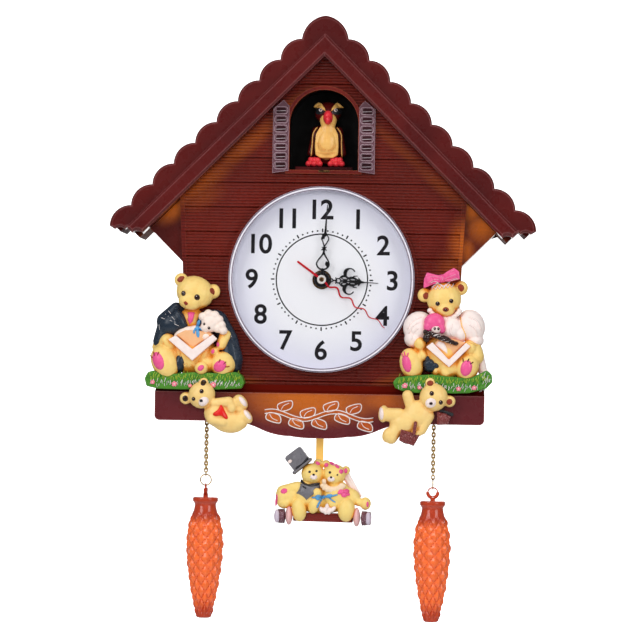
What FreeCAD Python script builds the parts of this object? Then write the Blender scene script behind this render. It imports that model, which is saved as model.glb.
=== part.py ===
"""Pendulum wall clock: a chalet-shaped quartz clock with a bird, bear figures, chains and cone weights.

Millimetres. X to the right, Z up, the front faces -Y and the back plane y = 0 lies on the wall.
Shapes are drawn with the dial's centre at x = 0, z = 0, and save() lowers them so that the origin
of every file is the centre of the hanger hole in the rear cover.
"""
import FreeCAD, Part
import math
import os

V = FreeCAD.Vector
ALONG_Y = V(0, 1, 0)
ROOT2 = math.sqrt(2.0)

# ---------------------------------------------------------------- driving dimensions
HANGER_Z = 46.0             # hanger hole above the dial's centre
HANGER_R = 4.5
HANGER_SLOT = 4.0           # width of the keyhole's slot
COVER = 2.5                 # thickness of the rear cover

CASE_BACK = -COVER          # y planes, from the wall to the front
CASE_FRONT = -41.0
WALL_FRONT = -44.0
FASCIA_FRONT = -50.0
BAND_FRONT = -57.0
APRON_FRONT = -55.0

ROOF_APEX = 185.0           # z of the roof line's apex; the roof slopes at 45 degrees
ROOF_END = 112.4            # |x| - z where the scalloped board ends
SCALLOPS = 9
SCALLOP_CHORD = 20.9
SCALLOP_BULGE = 4.3
APEX_CHORD = 23.2
APEX_BULGE = 4.0
BAND_OUTER = 171.6          # |x| + z of the band's outer and inner edges
BAND_INNER = 156.1
BAND_END = 102.6
CORNER = 7.2                # size of the rounded end corners, along |x| + z and |x| - z
CORNER_BULGE = 1.47

WALL_HALF = 96.0            # half width of the wall at its foot
WALL_FOOT = -80.0
BOARD_PITCH = 17.4
RIB_PITCH = 2.15
RIBS = 8
FIRST_BOARD = -89.0

DIAL_R = 62.3               # visible dial
BEZEL_R = 65.0
RECESS_R = 65.2
RIM_R = 67.2
RIM_GAP = 0.1               # between the dial's rim and the figures

DOOR_Z = 109.2              # centre of the doorway's arch
DOOR_R = 24.1
DOOR_FOOT = 76.7

APRON_HALF = 115.0
APRON_TOP = -74.0
APRON_LIP = -79.8
APRON_FOOT = -100.0
APRON_BELLY = -111.0

PERCH_TOP = 79.4
PERCH_GAP = 0.4             # between the door's sill and the perch
PINION_MODULE = 0.8
PINION_TEETH = 10

CHAIN_X = 80.0
CHAIN_Y = -33.0
LINK_LENGTH = 4.1
LINK_WIDTH = 2.8
LINK_WIRE = 0.8
CONE_TOP = -154.0
CONE_FOOT = -239.0

PENDULUM_PIVOT = -36.0
ROD_FOOT = -150.0
ROOF_OUTER = dict(top=183.5, low_end=101.0, low=156.6, end=110.5, high_end=174.0)
BOSSES = ((89.0, -68.0), (91.5, 6.0))
ROOF_BOSS = (58.0, 106.5)
BOSS_R = 4.2
BOSS_BORE = 1.35
RACK_FOOT = 68.6
PINION_Y = -21.5
PINION_Z = RACK_FOOT - PINION_MODULE - PINION_MODULE * PINION_TEETH / 2.0


# ---------------------------------------------------------------- small tools
def save(name, *shapes):
    """Write one node. Several shapes stay separate solids in it."""
    whole = shapes[0] if len(shapes) == 1 else Part.makeCompound(list(shapes))
    whole = whole.copy()
    whole.translate(V(0, 0, -HANGER_Z))
    if not whole.isValid():
        print("not valid:", name)
    print("%-24s %3d solids %9.1f mm3" % (name, len(whole.Solids), whole.Volume))
    whole.exportStep("parts/%s.step" % name)


def block(x0, x1, y0, y1, z0, z1):
    return Part.makeBox(x1 - x0, y1 - y0, z1 - z0, V(x0, y0, z0))


def disc(radius, y0, y1, x=0.0, z=0.0):
    return Part.makeCylinder(radius, y1 - y0, V(x, y0, z), ALONG_Y)


def tube(outer, inner, y0, y1, x=0.0, z=0.0):
    return disc(outer, y0, y1, x, z).cut(disc(inner, y0 - 1, y1 + 1, x, z))


def mirrored(shape):
    return shape.mirror(V(0, 0, 0), V(1, 0, 0))


def both_sides(shape):
    return [shape, mirrored(shape)]


def stretches(points):
    """Turn points (x, z) or (x, z, bulge) into stretches; a bulge is to the left of the travel."""
    result = []
    for start, end in zip(points, points[1:]):
        bulge = end[2] if len(end) > 2 else 0.0
        result.append((start[:2], end[:2], bulge))
    return result


def mirror_stretches(parts):
    """The left half of an outline, from its right half."""
    return [((-b[0], b[1]), (-a[0], a[1]), h) for a, b, h in reversed(parts)]


def outline(parts, y):
    """A closed wire in the plane y, from stretches."""
    edges = []
    for start, end, bulge in parts:
        a = V(start[0], y, start[1])
        b = V(end[0], y, end[1])
        if abs(bulge) < 1e-6:
            edges.append(Part.makeLine(a, b))
            continue
        run = b - a
        left = V(-run.z, 0, run.x).normalize()
        middle = (a + b) * 0.5 + left * bulge
        edges.append(Part.Arc(a, middle, b).toShape())
    return Part.Wire(edges)


def prism(parts, y0, y1):
    """Extrude stretches, or plain corner points, from y0 to y1."""
    if len(parts[0]) != 3 or not isinstance(parts[0][0], tuple):
        parts = stretches(list(parts) + [parts[0]])
    return Part.Face(outline(parts, y0)).extrude(V(0, y1 - y0, 0))


def roof_point(along, across):
    """A point from |x| + z = along and |x| - z = across, on the right side."""
    return ((along + across) / 2.0, (along - across) / 2.0)


def arch(radius, foot, y0, y1):
    """A doorway: straight sides under a half circle."""
    sides = [(-radius, foot), (radius, foot), (radius, DOOR_Z)]
    parts = stretches(sides + [(-radius, DOOR_Z, -radius), (-radius, foot)])
    return prism(parts, y0, y1)


def ball(x, y, z, radius):
    return Part.makeSphere(radius, V(x, y, z))


def pill(x, y, z, half_x, half_y, half_z):
    """A bar with round ends, half_x by half_z as seen from the front; its front is half_y before y."""
    radius = min(half_x, half_z)
    reach = abs(half_z - half_x)
    if reach < 0.25:
        return ball(x, y - half_y + radius, z, radius)
    turn = radius * math.sqrt(0.5)
    low, high = V(radius, 0, -reach), V(radius, 0, reach)
    foot, top = V(0, 0, -reach - radius), V(0, 0, reach + radius)
    edges = [Part.Arc(foot, V(turn, 0, -reach - turn), low).toShape(), Part.makeLine(low, high),
             Part.Arc(high, V(turn, 0, reach + turn), top).toShape(), Part.makeLine(top, foot)]
    shape = Part.makeSolid(Part.Face(Part.Wire(edges)).revolve(V(0, 0, 0), V(0, 0, 1), 360))
    if half_x > half_z:
        shape.rotate(V(0, 0, 0), V(0, 1, 0), 90)
    shape.translate(V(x, y - half_y + radius, z))
    return shape


def limb(start, end, radius):
    """A round bar between two points."""
    a, b = V(*start), V(*end)
    return Part.makeCylinder(radius, (b - a).Length, a, b - a)


def fused(shapes):
    return shapes[0].fuse(shapes[1:]).removeSplitter()


def gear(teeth, module, y0, y1, phase, x=0.0, z=0.0, bore=0.0):
    """A spur gear on an axis along Y. A tooth points in the direction phase, in degrees."""
    pitch_r = module * teeth / 2.0
    step = 2.0 * math.pi / teeth
    root, tip = pitch_r - 1.05 * module, pitch_r + 0.72 * module
    points = []
    for index in range(teeth):
        middle = math.radians(phase) + index * step
        for radius, share in ((root, -0.24), (tip, -0.09), (tip, 0.09), (root, 0.24)):
            angle = middle + share * step
            points.append((x + radius * math.cos(angle), z + radius * math.sin(angle)))
    body = prism(points, y0, y1)
    return body.cut(disc(bore, y0 - 1, y1 + 1, x, z)) if bore else body


# ---------------------------------------------------------------- roof
def fascia_outline(inset):
    """The scalloped board's outline, moved inwards by inset at its scalloped and end edges."""
    apex = ROOF_APEX - inset * ROOT2
    end = ROOF_END - inset * ROOT2
    points = [(0.0, apex)]
    distance = APEX_CHORD - inset
    points.append((distance / ROOT2, apex - distance / ROOT2, APEX_BULGE))
    for index in range(SCALLOPS):
        distance += SCALLOP_CHORD - (inset if index == SCALLOPS - 1 else 0.0)
        points.append((distance / ROOT2, apex - distance / ROOT2, SCALLOP_BULGE))
    low = BAND_OUTER + inset * ROOT2
    points.append(roof_point(low + CORNER, end))
    points.append(roof_point(low, end - CORNER) + (-CORNER_BULGE,))
    points.append(roof_point(low, BAND_END - inset * ROOT2))
    points.append(roof_point(BAND_INNER + CORNER, BAND_END - inset * ROOT2))
    points.append(roof_point(BAND_INNER, BAND_END - CORNER) + (-CORNER_BULGE,))
    points.append((0.0, BAND_INNER))
    half = stretches(points)
    return half + mirror_stretches(half)


def band_outline(inset):
    """The raised band's outline, moved inwards by inset all round."""
    low, high = BAND_INNER + inset * ROOT2, BAND_OUTER - inset * ROOT2
    end = BAND_END - (inset + 0.4) * ROOT2
    half = stretches([(0.0, high), roof_point(high, end), roof_point(low + CORNER, end),
                      roof_point(low, end - CORNER) + (-CORNER_BULGE,), (0.0, low)])
    return half + mirror_stretches(half)


def bevelled_plate(shape_of, y_front, y_back, bevel):
    """A plate whose front edges are bevelled; shape_of(inset) gives its outline."""
    shoulder = y_front + bevel
    slope = Part.makeLoft([outline(shape_of(bevel), y_front), outline(shape_of(0.0), shoulder)], True, True)
    return slope.fuse(prism(shape_of(0.0), shoulder, y_back))


def roof_fascia():
    board = bevelled_plate(fascia_outline, FASCIA_FRONT, WALL_FRONT, 1.3)
    band = bevelled_plate(band_outline, BAND_FRONT, FASCIA_FRONT + 2.0, 1.6)
    return fused([board, band])


def roof_section(top, low_end, low, end, high_end):
    """A roof outline: the outer slope is |x| + z = top, the soffit is |x| + z = low."""
    half = stretches([(0.0, top), roof_point(top, end), roof_point(high_end, end),
                      roof_point(high_end, low_end), roof_point(low, low_end), (0.0, low)])
    return half + mirror_stretches(half)


def roof_shell():
    outer = prism(roof_section(**ROOF_OUTER), WALL_FRONT, CASE_BACK)
    hollow_half = stretches([(0.0, 179.3), roof_point(179.3, 97.0), roof_point(160.8, 97.0), (0.0, 160.8)])
    shell = outer.cut(prism(hollow_half + mirror_stretches(hollow_half), WALL_FRONT + 2.5, CASE_BACK + 1))
    boss = disc(BOSS_R, WALL_FRONT + 2.0, CASE_BACK, *ROOF_BOSS)
    bore = disc(BOSS_BORE, -14.5, CASE_BACK + 1, *ROOF_BOSS)
    shell = fused([shell] + both_sides(boss))
    for hole in both_sides(bore):
        shell = shell.cut(hole)
    return shell


# ---------------------------------------------------------------- case
def case_frame():
    """Side walls with sloping gussets at the top, and the floor. Open at the back and under the roof."""
    half = stretches([(0.0, -79.0), (94.5, -79.0), (97.5, 10.5), (121.5, 34.5), (0.0, 156.0)])
    outer = prism(half + mirror_stretches(half), CASE_FRONT, CASE_BACK)
    inner_half = stretches([(0.0, -76.5), (92.0, -76.5), (95.0, 11.5), (120.25, 36.75), (0.0, 157.0)])
    frame = outer.cut(prism(inner_half + mirror_stretches(inner_half), CASE_FRONT - 1, CASE_BACK + 1))
    gusset = prism([(94.9, 8.5), (97.4, 10.4), (121.4, 34.4), (95.5, 60.4)], CASE_FRONT, CASE_FRONT + 2.0)
    bosses = [disc(BOSS_R, CASE_FRONT, CASE_BACK, x, z) for x, z in BOSSES]
    frame = fused([frame] + both_sides(gusset) + bosses + [mirrored(b) for b in bosses])
    for x, z in BOSSES:
        for side in (-1, 1):
            frame = frame.cut(disc(BOSS_BORE, -14.5, CASE_BACK + 1, side * x, z))
    frame = frame.cut(block(-14, 14, -37, -24, -80, -76))
    for side in (-1, 1):
        hole = Part.makeCylinder(0.8, 5, V(side * CHAIN_X, CHAIN_Y, -80), V(0, 0, 1))
        frame = frame.cut(hole)
    return frame


def front_wall():
    """Clapboards with fine ribs, the dial's recess and the doorway."""
    profile = [(CASE_FRONT, FIRST_BOARD)]
    boards = 15
    thin, slope, rib = -42.3, -1.35, -0.35
    for board in range(boards):
        foot = FIRST_BOARD + board * BOARD_PITCH
        for index in range(RIBS):
            low = foot + index * RIB_PITCH
            for height, raised in ((0.35, 0), (0.75, 1), (1.65, 1), (2.05, 0)):
                share = 1.0 - (index * RIB_PITCH + height) / BOARD_PITCH
                profile.append((thin + slope * share + rib * raised, low + height))
    profile.append((thin, FIRST_BOARD + boards * BOARD_PITCH))
    profile.append((CASE_FRONT, FIRST_BOARD + boards * BOARD_PITCH))
    corners = [V(-130, y, z) for y, z in profile]
    boards_solid = Part.Face(Part.makePolygon(corners + [corners[0]])).extrude(V(260, 0, 0))

    edge = [(0.0, WALL_FOOT), (WALL_HALF, WALL_FOOT), (97.0, -12.0), (98.0, 10.0), (100.6, 56.0), (0.0, 156.6)]
    half = stretches(edge)
    wall = boards_solid.common(prism(half + mirror_stretches(half), WALL_FRONT - 2, CASE_FRONT))
    strip = prism([(WALL_HALF - 2.4, WALL_FOOT), (WALL_HALF, WALL_FOOT), (97.0, -12.0), (98.0, 10.0),
                   (100.6, 56.0), (97.5, 59.1), (95.3, 10.0), (94.5, -12.0)], WALL_FRONT, CASE_FRONT)
    floor = disc(RIM_R + 1.5, CASE_FRONT, CASE_FRONT + 2.0)
    rim = tube(RIM_R, RECESS_R, WALL_FRONT - 2.5, CASE_FRONT)
    wall = wall.cut(disc(RECESS_R, WALL_FRONT - 3, CASE_FRONT))
    wall = wall.cut(arch(DOOR_R, DOOR_FOOT, WALL_FRONT - 3, CASE_FRONT + 1))
    wall = fused([wall, floor, rim] + both_sides(strip))
    return wall.cut(disc(4.05, CASE_FRONT - 1, CASE_FRONT + 3))


def rear_cover():
    half = stretches([(0.0, -79.0), (94.5, -79.0), (97.5, 10.5), (119.0, 32.0), (123.2, 33.4),
                      roof_point(156.6, 101.0), roof_point(174.0, 101.0), roof_point(174.0, 110.5),
                      roof_point(183.5, 110.5), (0.0, 183.5)])
    cover = prism(half + mirror_stretches(half), -COVER, 0.0)
    cover = cover.cut(disc(HANGER_R, -COVER - 1, 1, 0, HANGER_Z))
    cover = cover.cut(block(-HANGER_SLOT / 2, HANGER_SLOT / 2, -COVER - 1, 1, HANGER_Z, HANGER_Z + 11))
    cover = cover.cut(disc(HANGER_SLOT / 2, -COVER - 1, 1, 0, HANGER_Z + 11))
    cover = cover.cut(block(-31, 31, -COVER - 1, 1, -72, 31))
    for index in range(5):
        low = SPEAKER[1] - 8.0 + index * 4.0
        cover = cover.cut(block(SPEAKER[0] - 8, SPEAKER[0] + 8, -COVER - 1, 1, low - 0.8, low + 0.8))
    for x, z in BOSSES + (ROOF_BOSS,):
        for side in (-1, 1):
            cover = cover.cut(disc(1.6, -COVER - 1, 1, side * x, z))
            cover = cover.cut(disc(3.3, -1.7, 1, side * x, z))
    return cover


def case_screws():
    screws = []
    for x, z in BOSSES + (ROOF_BOSS,):
        head = disc(3.0, -1.6, -0.1, x, z).cut(block(x - 2.2, x + 2.2, -0.8, 0, z - 0.4, z + 0.4))
        screw = fused([head, disc(1.25, -13.5, -1.5, x, z)])
        screws += both_sides(screw)
    return screws


def apron_board():
    """The board under the wall: a coved top, rounded ends, and a belly at the middle of its foot."""
    half = stretches([
        (0.0, APRON_TOP), (APRON_HALF, APRON_TOP), (APRON_HALF, APRON_FOOT + 3.5),
        (APRON_HALF - 3.5, APRON_FOOT, 1.03), (66.0, APRON_FOOT), (42.0, -104.6, -1.4),
        (20.0, APRON_BELLY + 1.2, 1.3), (0.0, APRON_BELLY, 0.5)])
    board = prism(half + mirror_stretches(half), APRON_FRONT, WALL_FRONT)
    cove = [V(-130, APRON_FRONT - 1, APRON_LIP - 0.1), V(-130, APRON_FRONT - 1, APRON_TOP + 1),
            V(-130, WALL_FRONT - 1.2, APRON_TOP + 1), V(-130, WALL_FRONT - 4.0, APRON_LIP + 2.0),
            V(-130, APRON_FRONT + 1.0, APRON_LIP)]
    board = board.cut(Part.Face(Part.makePolygon(cove + [cove[0]])).extrude(V(260, 0, 0)))
    hollow_half = stretches([(0.0, -83.0), (APRON_HALF - 3, -83.0), (APRON_HALF - 3, -97.0), (0.0, -97.0)])
    return board.cut(prism(hollow_half + mirror_stretches(hollow_half), APRON_FRONT + 3.0, WALL_FRONT + 1))


def apron_ornament():
    """A low raised panel that carries the painted vine."""
    half = stretches([(0.0, -85.0), (22.0, -86.0, 0.8), (40.0, -95.0, 1.5), (22.0, -102.0, 1.0),
                      (0.0, -105.5, 0.6)])
    return prism(half + mirror_stretches(half), APRON_FRONT - 1.2, APRON_FRONT)


# ---------------------------------------------------------------- doorway, shutters and bird
def shutter():
    """The right shutter: a peaked board with seven louvre slots, a little lower on its outer side."""
    inner, outer, peak = 24.6, 35.8, 28.5
    board = prism([(inner, 76.0), (outer, 74.3), (outer, 119.5), (peak, 125.5), (inner, 121.5)],
                  WALL_FRONT - 3.0, WALL_FRONT)
    for index in range(7):
        low = 78.3 + index * 6.3
        slot = prism([(inner + 2.2, low + 0.3), (outer - 2.2, low), (outer - 2.2, low + 3.2),
                      (inner + 2.2, low + 3.5)], WALL_FRONT - 4.0, WALL_FRONT - 1.6)
        board = board.cut(slot)
    return board


def door_rim():
    rim = arch(DOOR_R + 2.6, DOOR_FOOT - 2.6, WALL_FRONT - 2.2, WALL_FRONT)
    rim = rim.cut(arch(DOOR_R, DOOR_FOOT, WALL_FRONT - 3, WALL_FRONT + 1))
    for board in both_sides(shutter()):
        rim = rim.cut(board)
    return rim


def bird_box():
    outer = arch(26.1, 73.5, CASE_FRONT, -14.0)
    box = outer.cut(arch(24.6, 75.0, CASE_FRONT - 1, -15.5))
    box = box.cut(block(-1.7, 1.7, -39.6, -15.6, 73, 76))
    clip = block(8, 18, -24, -19, 69.9, 73.6)
    return fused([box, clip])


def bird_carriage():
    """Perch, web through the box's floor, and the rack under it."""
    perch = block(-20.0, 20.0, -39.5, -20.0, DOOR_FOOT + PERCH_GAP, PERCH_TOP)
    web = block(-1.3, 1.3, -24.0, -16.0, RACK_FOOT + 1.0, DOOR_FOOT + PERCH_GAP + 0.1)
    pitch = math.pi * PINION_MODULE
    points = [(-24.0, RACK_FOOT + 2.0), (-24.0, RACK_FOOT)]
    first = PINION_Y + pitch / 2 - pitch
    for index in range(8):
        middle = first + index * pitch
        low = RACK_FOOT - 0.72 * PINION_MODULE - PINION_MODULE
        points += [(middle - 0.24 * pitch, RACK_FOOT), (middle - 0.10 * pitch, low),
                   (middle + 0.10 * pitch, low), (middle + 0.24 * pitch, RACK_FOOT)]
    points += [(-4.0, RACK_FOOT), (-4.0, RACK_FOOT + 2.0)]
    corners = [V(-2.5, y, z) for y, z in points]
    rack = Part.Face(Part.makePolygon(corners + [corners[0]])).extrude(V(5.0, 0, 0))
    return fused([perch, web, rack])


def bird_pinion():
    wheel = gear(PINION_TEETH, PINION_MODULE, -2.2, 2.2, 90.0)
    wheel.rotate(V(0, 0, 0), V(0, 0, 1), -90)
    wheel.translate(V(0, PINION_Y, PINION_Z))
    shaft = Part.makeCylinder(0.8, 7.0, V(-3.0, PINION_Y, PINION_Z), V(1, 0, 0))
    return fused([wheel, shaft])


def bird_motor():
    return Part.makeCylinder(6.0, 18.0, V(4.0, PINION_Y, PINION_Z), V(1, 0, 0))


def bird_figure():
    """A standing bird with folded wings, a cap and an oval beak."""
    y = -27.5
    body = pill(0, y, 96.5, 9.5, 7.5, 15.5)
    head = ball(0, y, 114.5, 8.6)
    wings = [pill(side * 8.2, y + 1.5, 97.5, 4.4, 5.5, 14.0) for side in (-1, 1)]
    cap = pill(0, y + 1.0, 119.0, 8.4, 7.4, 7.2)
    beak = pill(0, y - 7.6, 110.5, 3.5, 4.0, 5.8)
    feet = [pill(side * 6.2, y - 1.5, 81.6, 5.4, 3.0, 2.6) for side in (-1, 1)]
    legs = [limb((side * 4.5, y - 1, 83.0), (side * 4.0, y, 88.0), 1.8) for side in (-1, 1)]
    bird = fused([body, head, cap, beak] + wings + feet + legs)
    return bird.cut(block(-30, 30, -60, 0, 60, PERCH_TOP))


# ---------------------------------------------------------------- dial and hands
def hand(length, width, tail, y0, y1, hub, bore, clockwise):
    """A tapered hand that points clockwise degrees from twelve."""
    angle = math.radians(90.0 - clockwise)
    along = (math.cos(angle), math.sin(angle))
    across = (-along[1], along[0])
    shape = [(-tail, -width * 0.35), (-tail, width * 0.35), (hub, width * 0.5), (length * 0.32, width),
             (length * 0.62, width * 0.55), (length, 0.25), (length, -0.25), (length * 0.62, -width * 0.55),
             (length * 0.32, -width), (hub, -width * 0.5)]
    points = [(p * along[0] + q * across[0], p * along[1] + q * across[1]) for p, q in shape]
    blade = prism(points, y0, y1)
    whole = fused([blade, disc(hub, y0, y1)])
    return whole.cut(disc(bore, y0 - 1, y1 + 1)) if bore else whole


def dial_nut():
    points = [(5.2 * math.cos(math.radians(60 * i)), 5.2 * math.sin(math.radians(60 * i))) for i in range(6)]
    return prism(points, -44.4, -42.6).cut(disc(4.05, -46, -42))


# ---------------------------------------------------------------- movement
SECONDS_MODULE = 0.3
TRAIN_DISTANCE = 36 * SECONDS_MODULE            # third wheel to the centre
THIRD_MODULE = TRAIN_DISTANCE / 34.0
THIRD_X = -TRAIN_DISTANCE
STEP_X = 24 * SECONDS_MODULE
ROTOR_TURN = 50.0                               # direction of the rotor from the step wheel
ROTOR_X = STEP_X + 28 * SECONDS_MODULE * math.cos(math.radians(ROTOR_TURN))
ROTOR_Z = 28 * SECONDS_MODULE * math.sin(math.radians(ROTOR_TURN))
MOTION_Z = 12.0
SPEAKER = (55.0, 50.0)


def movement():
    front = block(-28, 28, -39, -30, -28, 28).cut(block(-26.5, 26.5, -37.5, -29, -26.5, 26.5))
    save("movement_front_housing", front.cut(disc(4.05, -40, -36)))
    rear = block(-28, 28, -30, -21, -28, 28).cut(block(-26.5, 26.5, -31, -22.5, -26.5, 26.5))
    rear = rear.cut(block(-26, 26, -23, -20, -26.3, -12.1))
    rear = fused([rear, block(-26.6, 26.6, -37.3, -22.4, -11.9, -10.9)])
    save("movement_rear_housing", rear.cut(disc(1.0, -23, -20, 0, MOTION_Z)))
    save("centre_bush", fused([disc(4.0, -44.6, -37.5), disc(5.5, -37.5, -37.1)]).cut(disc(2.55, -46, -36)))

    hour = gear(48, 0.4, -37.0, -36.2, 90 + 3.75).fuse(disc(2.5, -44.9, -36.2))
    save("hour_wheel", hour.cut(disc(1.65, -46, -36)).removeSplitter())
    cannon = gear(12, 0.5, -35.6, -34.2, 90).fuse(disc(1.6, -46.0, -32.6))
    save("minute_arbor", cannon.cut(disc(0.75, -47, -32)).removeSplitter())
    motion = [gear(36, 0.5, -35.4, -34.6, 275, 0, MOTION_Z), gear(12, 0.4, -37.2, -36.0, 270, 0, MOTION_Z),
              disc(0.8, -37.3, -21.0, 0, MOTION_Z)]
    save("motion_wheel", fused(motion))
    knob = disc(6.0, -20.6, -16.0, 0, MOTION_Z)
    for index in range(12):
        turn = math.radians(30 * index)
        knob = knob.cut(disc(0.9, -21, -15, 6.3 * math.cos(turn), MOTION_Z + 6.3 * math.sin(turn)))
    save("setting_knob", fused([knob, disc(1.6, -21.0, -20.6, 0, MOTION_Z)]))

    save("centre_wheel", gear(64, SECONDS_MODULE, -33.6, -33.0, 180 + 2.8125, bore=1.65))
    third = [gear(60, THIRD_MODULE, -31.4, -30.8, 3, THIRD_X, 0),
             gear(8, SECONDS_MODULE, -33.8, -32.8, 0, THIRD_X, 0), disc(0.5, -34.4, -30.2, THIRD_X, 0)]
    save("third_wheel", fused(third))
    seconds = [gear(8, THIRD_MODULE, -31.6, -30.6, 180), gear(40, SECONDS_MODULE, -29.4, -28.8, 0),
               disc(0.7, -47.1, -27.6)]
    save("seconds_wheel", fused(seconds))
    step = [gear(48, SECONDS_MODULE, -27.0, -26.4, ROTOR_TURN, STEP_X, 0),
            gear(8, SECONDS_MODULE, -29.6, -28.6, 180 + 22.5, STEP_X, 0), disc(0.5, -29.7, -25.6, STEP_X, 0)]
    save("step_wheel", fused(step))
    rotor = [gear(8, SECONDS_MODULE, -27.2, -26.2, 180 + ROTOR_TURN + 22.5, ROTOR_X, ROTOR_Z),
             disc(3.0, -31.6, -28.4, ROTOR_X, ROTOR_Z), disc(0.5, -32.2, -25.6, ROTOR_X, ROTOR_Z)]
    save("rotor", fused(rotor))
    stator = block(8.6, 18.2, -30.6, -29.8, 1.6, 12.4).cut(disc(3.5, -32, -28, ROTOR_X, ROTOR_Z))
    save("stator", stator)
    coil = Part.makeCylinder(3.4, 20.0, V(22.0, -30.2, 2.0), V(0, 0, 1))
    save("motor_coil", coil)
    save("circuit_board", block(-26.2, -4.0, -29.0, -27.6, 14.0, 26.2), disc(2.4, -31.0, -29.0, -15, 20))

    cell = Part.makeCylinder(7.1, 48.6, V(-24.6, -29.8, -19.4), V(1, 0, 0))
    tip = Part.makeCylinder(2.7, 1.4, V(24.0, -29.8, -19.4), V(1, 0, 0))
    save("battery", fused([cell, tip]))
    save("battery_contacts", block(-26.4, -25.0, -36.0, -25.0, -25.5, -13.5),
         block(25.6, 26.4, -36.0, -25.0, -25.5, -13.5))
    cover = block(-25.6, 25.6, -22.4, -21.0, -26.0, -12.4)
    grip = [block(-6, 6, -21.0, -20.0, z, z + 1.0) for z in (-21.5, -19.5, -17.5)]
    save("battery_cover", fused([cover] + grip))


def pendulum():
    housing = block(-28, 28, -39, -21, -70, -28.1).cut(block(-26.5, 26.5, -37.5, -22.5, -68.5, -29.6))
    save("pendulum_housing", housing.cut(block(-13, 13, -36, -25, -71, -68)))
    save("drive_coil", tube(7.0, 3.0, -37.4, -34.6, 0, -58))
    save("pivot_pin", disc(1.0, -37.4, -22.6, 0, PENDULUM_PIVOT))
    arm = fused([disc(3.6, -31, -29, 0, PENDULUM_PIVOT), block(-3, 3, -31, -29, -74, PENDULUM_PIVOT)])
    save("pendulum_hanger", arm.cut(disc(1.05, -32, -28, 0, PENDULUM_PIVOT)))
    save("drive_magnet", disc(5.0, -33.4, -31.0, 0, -58))
    save("pendulum_rod", block(-2.65, 2.65, -32.6, -31.0, ROD_FOOT, -66.0))


def bob_figure():
    """Two bears side by side on a log cart, with a tall hat on the left one."""
    back = -32.6
    y = -41.5
    heads = [ball(-3.6, y, -135.5, 8.0), ball(11.9, y, -136.0, 8.0)]
    ears = [ball(3.0, y, -129.5, 2.8), ball(6.5, y, -130.0, 2.8), ball(18.5, y, -131.5, 3.0)]
    bodies = [pill(-3.0, y, -149.0, 11.0, 8.5, 11.5), pill(12.0, y, -149.5, 11.0, 8.5, 11.5)]
    feet = [pill(-19.0, y - 2, -156.0, 6.5, 6.5, 5.5), pill(27.0, y - 2, -156.5, 6.5, 6.5, 5.5)]
    bench = block(-22.0, 30.0, y - 6.0, back, -172.0, -158.0)
    wheels = [disc(7.4, y - 4, back, x, -165.0) for x in (-23.5, 29.5)]
    hat = Part.makeCone(7.0, 6.2, 14.0, V(-9.0, y + 1.5, -129.5), V(-0.35, 0, 0.94))
    stem = block(-9.0, 17.0, y, back, -152.0, -134.0)
    whole = fused(heads + ears + bodies + feet + [bench, hat, stem] + wheels)
    return whole.cut(block(-60, 60, back, 0, -200, -100))


# ---------------------------------------------------------------- chains and weights
def ring(radius, wire, x, z, face_on):
    """A wire ring. Face-on, its axis is along Y; otherwise it is along X."""
    axis = V(0, 1, 0) if face_on else V(1, 0, 0)
    return Part.makeTorus(radius, wire, V(x, CHAIN_Y, z), axis)


def link(x, z, face_on):
    """One chain link: two half rings joined by straight wires."""
    wire = LINK_WIRE / 2.0
    bend = LINK_WIDTH / 2.0 - wire
    straight = LINK_LENGTH / 2.0 - wire - bend
    top = [V(bend, 0, straight), V(0, 0, straight + bend), V(-bend, 0, straight)]
    foot = [V(-bend, 0, -straight), V(0, 0, -straight - bend), V(bend, 0, -straight)]
    path = Part.Wire([Part.Arc(*top).toShape(), Part.makeLine(top[2], foot[0]),
                      Part.Arc(*foot).toShape(), Part.makeLine(foot[2], top[0])])
    section = Part.Wire(Part.makeCircle(wire, top[0], V(0, 0, 1)))
    shape = path.makePipeShell([section], True, True)
    if not face_on:
        shape.rotate(V(0, 0, 0), V(0, 0, 1), 90)
    shape.translate(V(x, CHAIN_Y, z))
    return shape


FIRST_LINK = -85.25
LAST_LINK = -137.55
RING_Z = -142.0
RING_R = 3.8
RING_WIRE = 0.45
EYELET_Z = -148.3
EYELET_R = 3.5


def chains():
    hooks = []
    for side, name, count in ((-1, "left", 23), (1, "right", 22)):
        x = side * CHAIN_X
        eye = fused([Part.makeTorus(2.2, 0.5, V(x, CHAIN_Y, -82.4), ALONG_Y),
                     Part.makeCylinder(1.6, 1.0, V(x, CHAIN_Y, -80.0), V(0, 0, 1)),
                     Part.makeCylinder(0.75, 6.5, V(x, CHAIN_Y, -80.2), V(0, 0, 1))])
        hooks.append(eye)
        pitch = (FIRST_LINK - LAST_LINK) / (count - 1)
        links = [link(x, FIRST_LINK - index * pitch, index % 2 == 1) for index in range(count)]
        left = side < 0
        save(name + "_chain", *links, ring(RING_R, RING_WIRE, x, RING_Z, left))
        stem = Part.makeCylinder(0.9, 3.4, V(x, CHAIN_Y, CONE_TOP - 1.0), V(0, 0, 1))
        eyelet = ring(EYELET_R, RING_WIRE, x, EYELET_Z, not left)
        save(name + "_eyelet", fused([eyelet, stem]))
        save(name + "_cone", cone(x))
    save("chain_hooks", *hooks)


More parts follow.
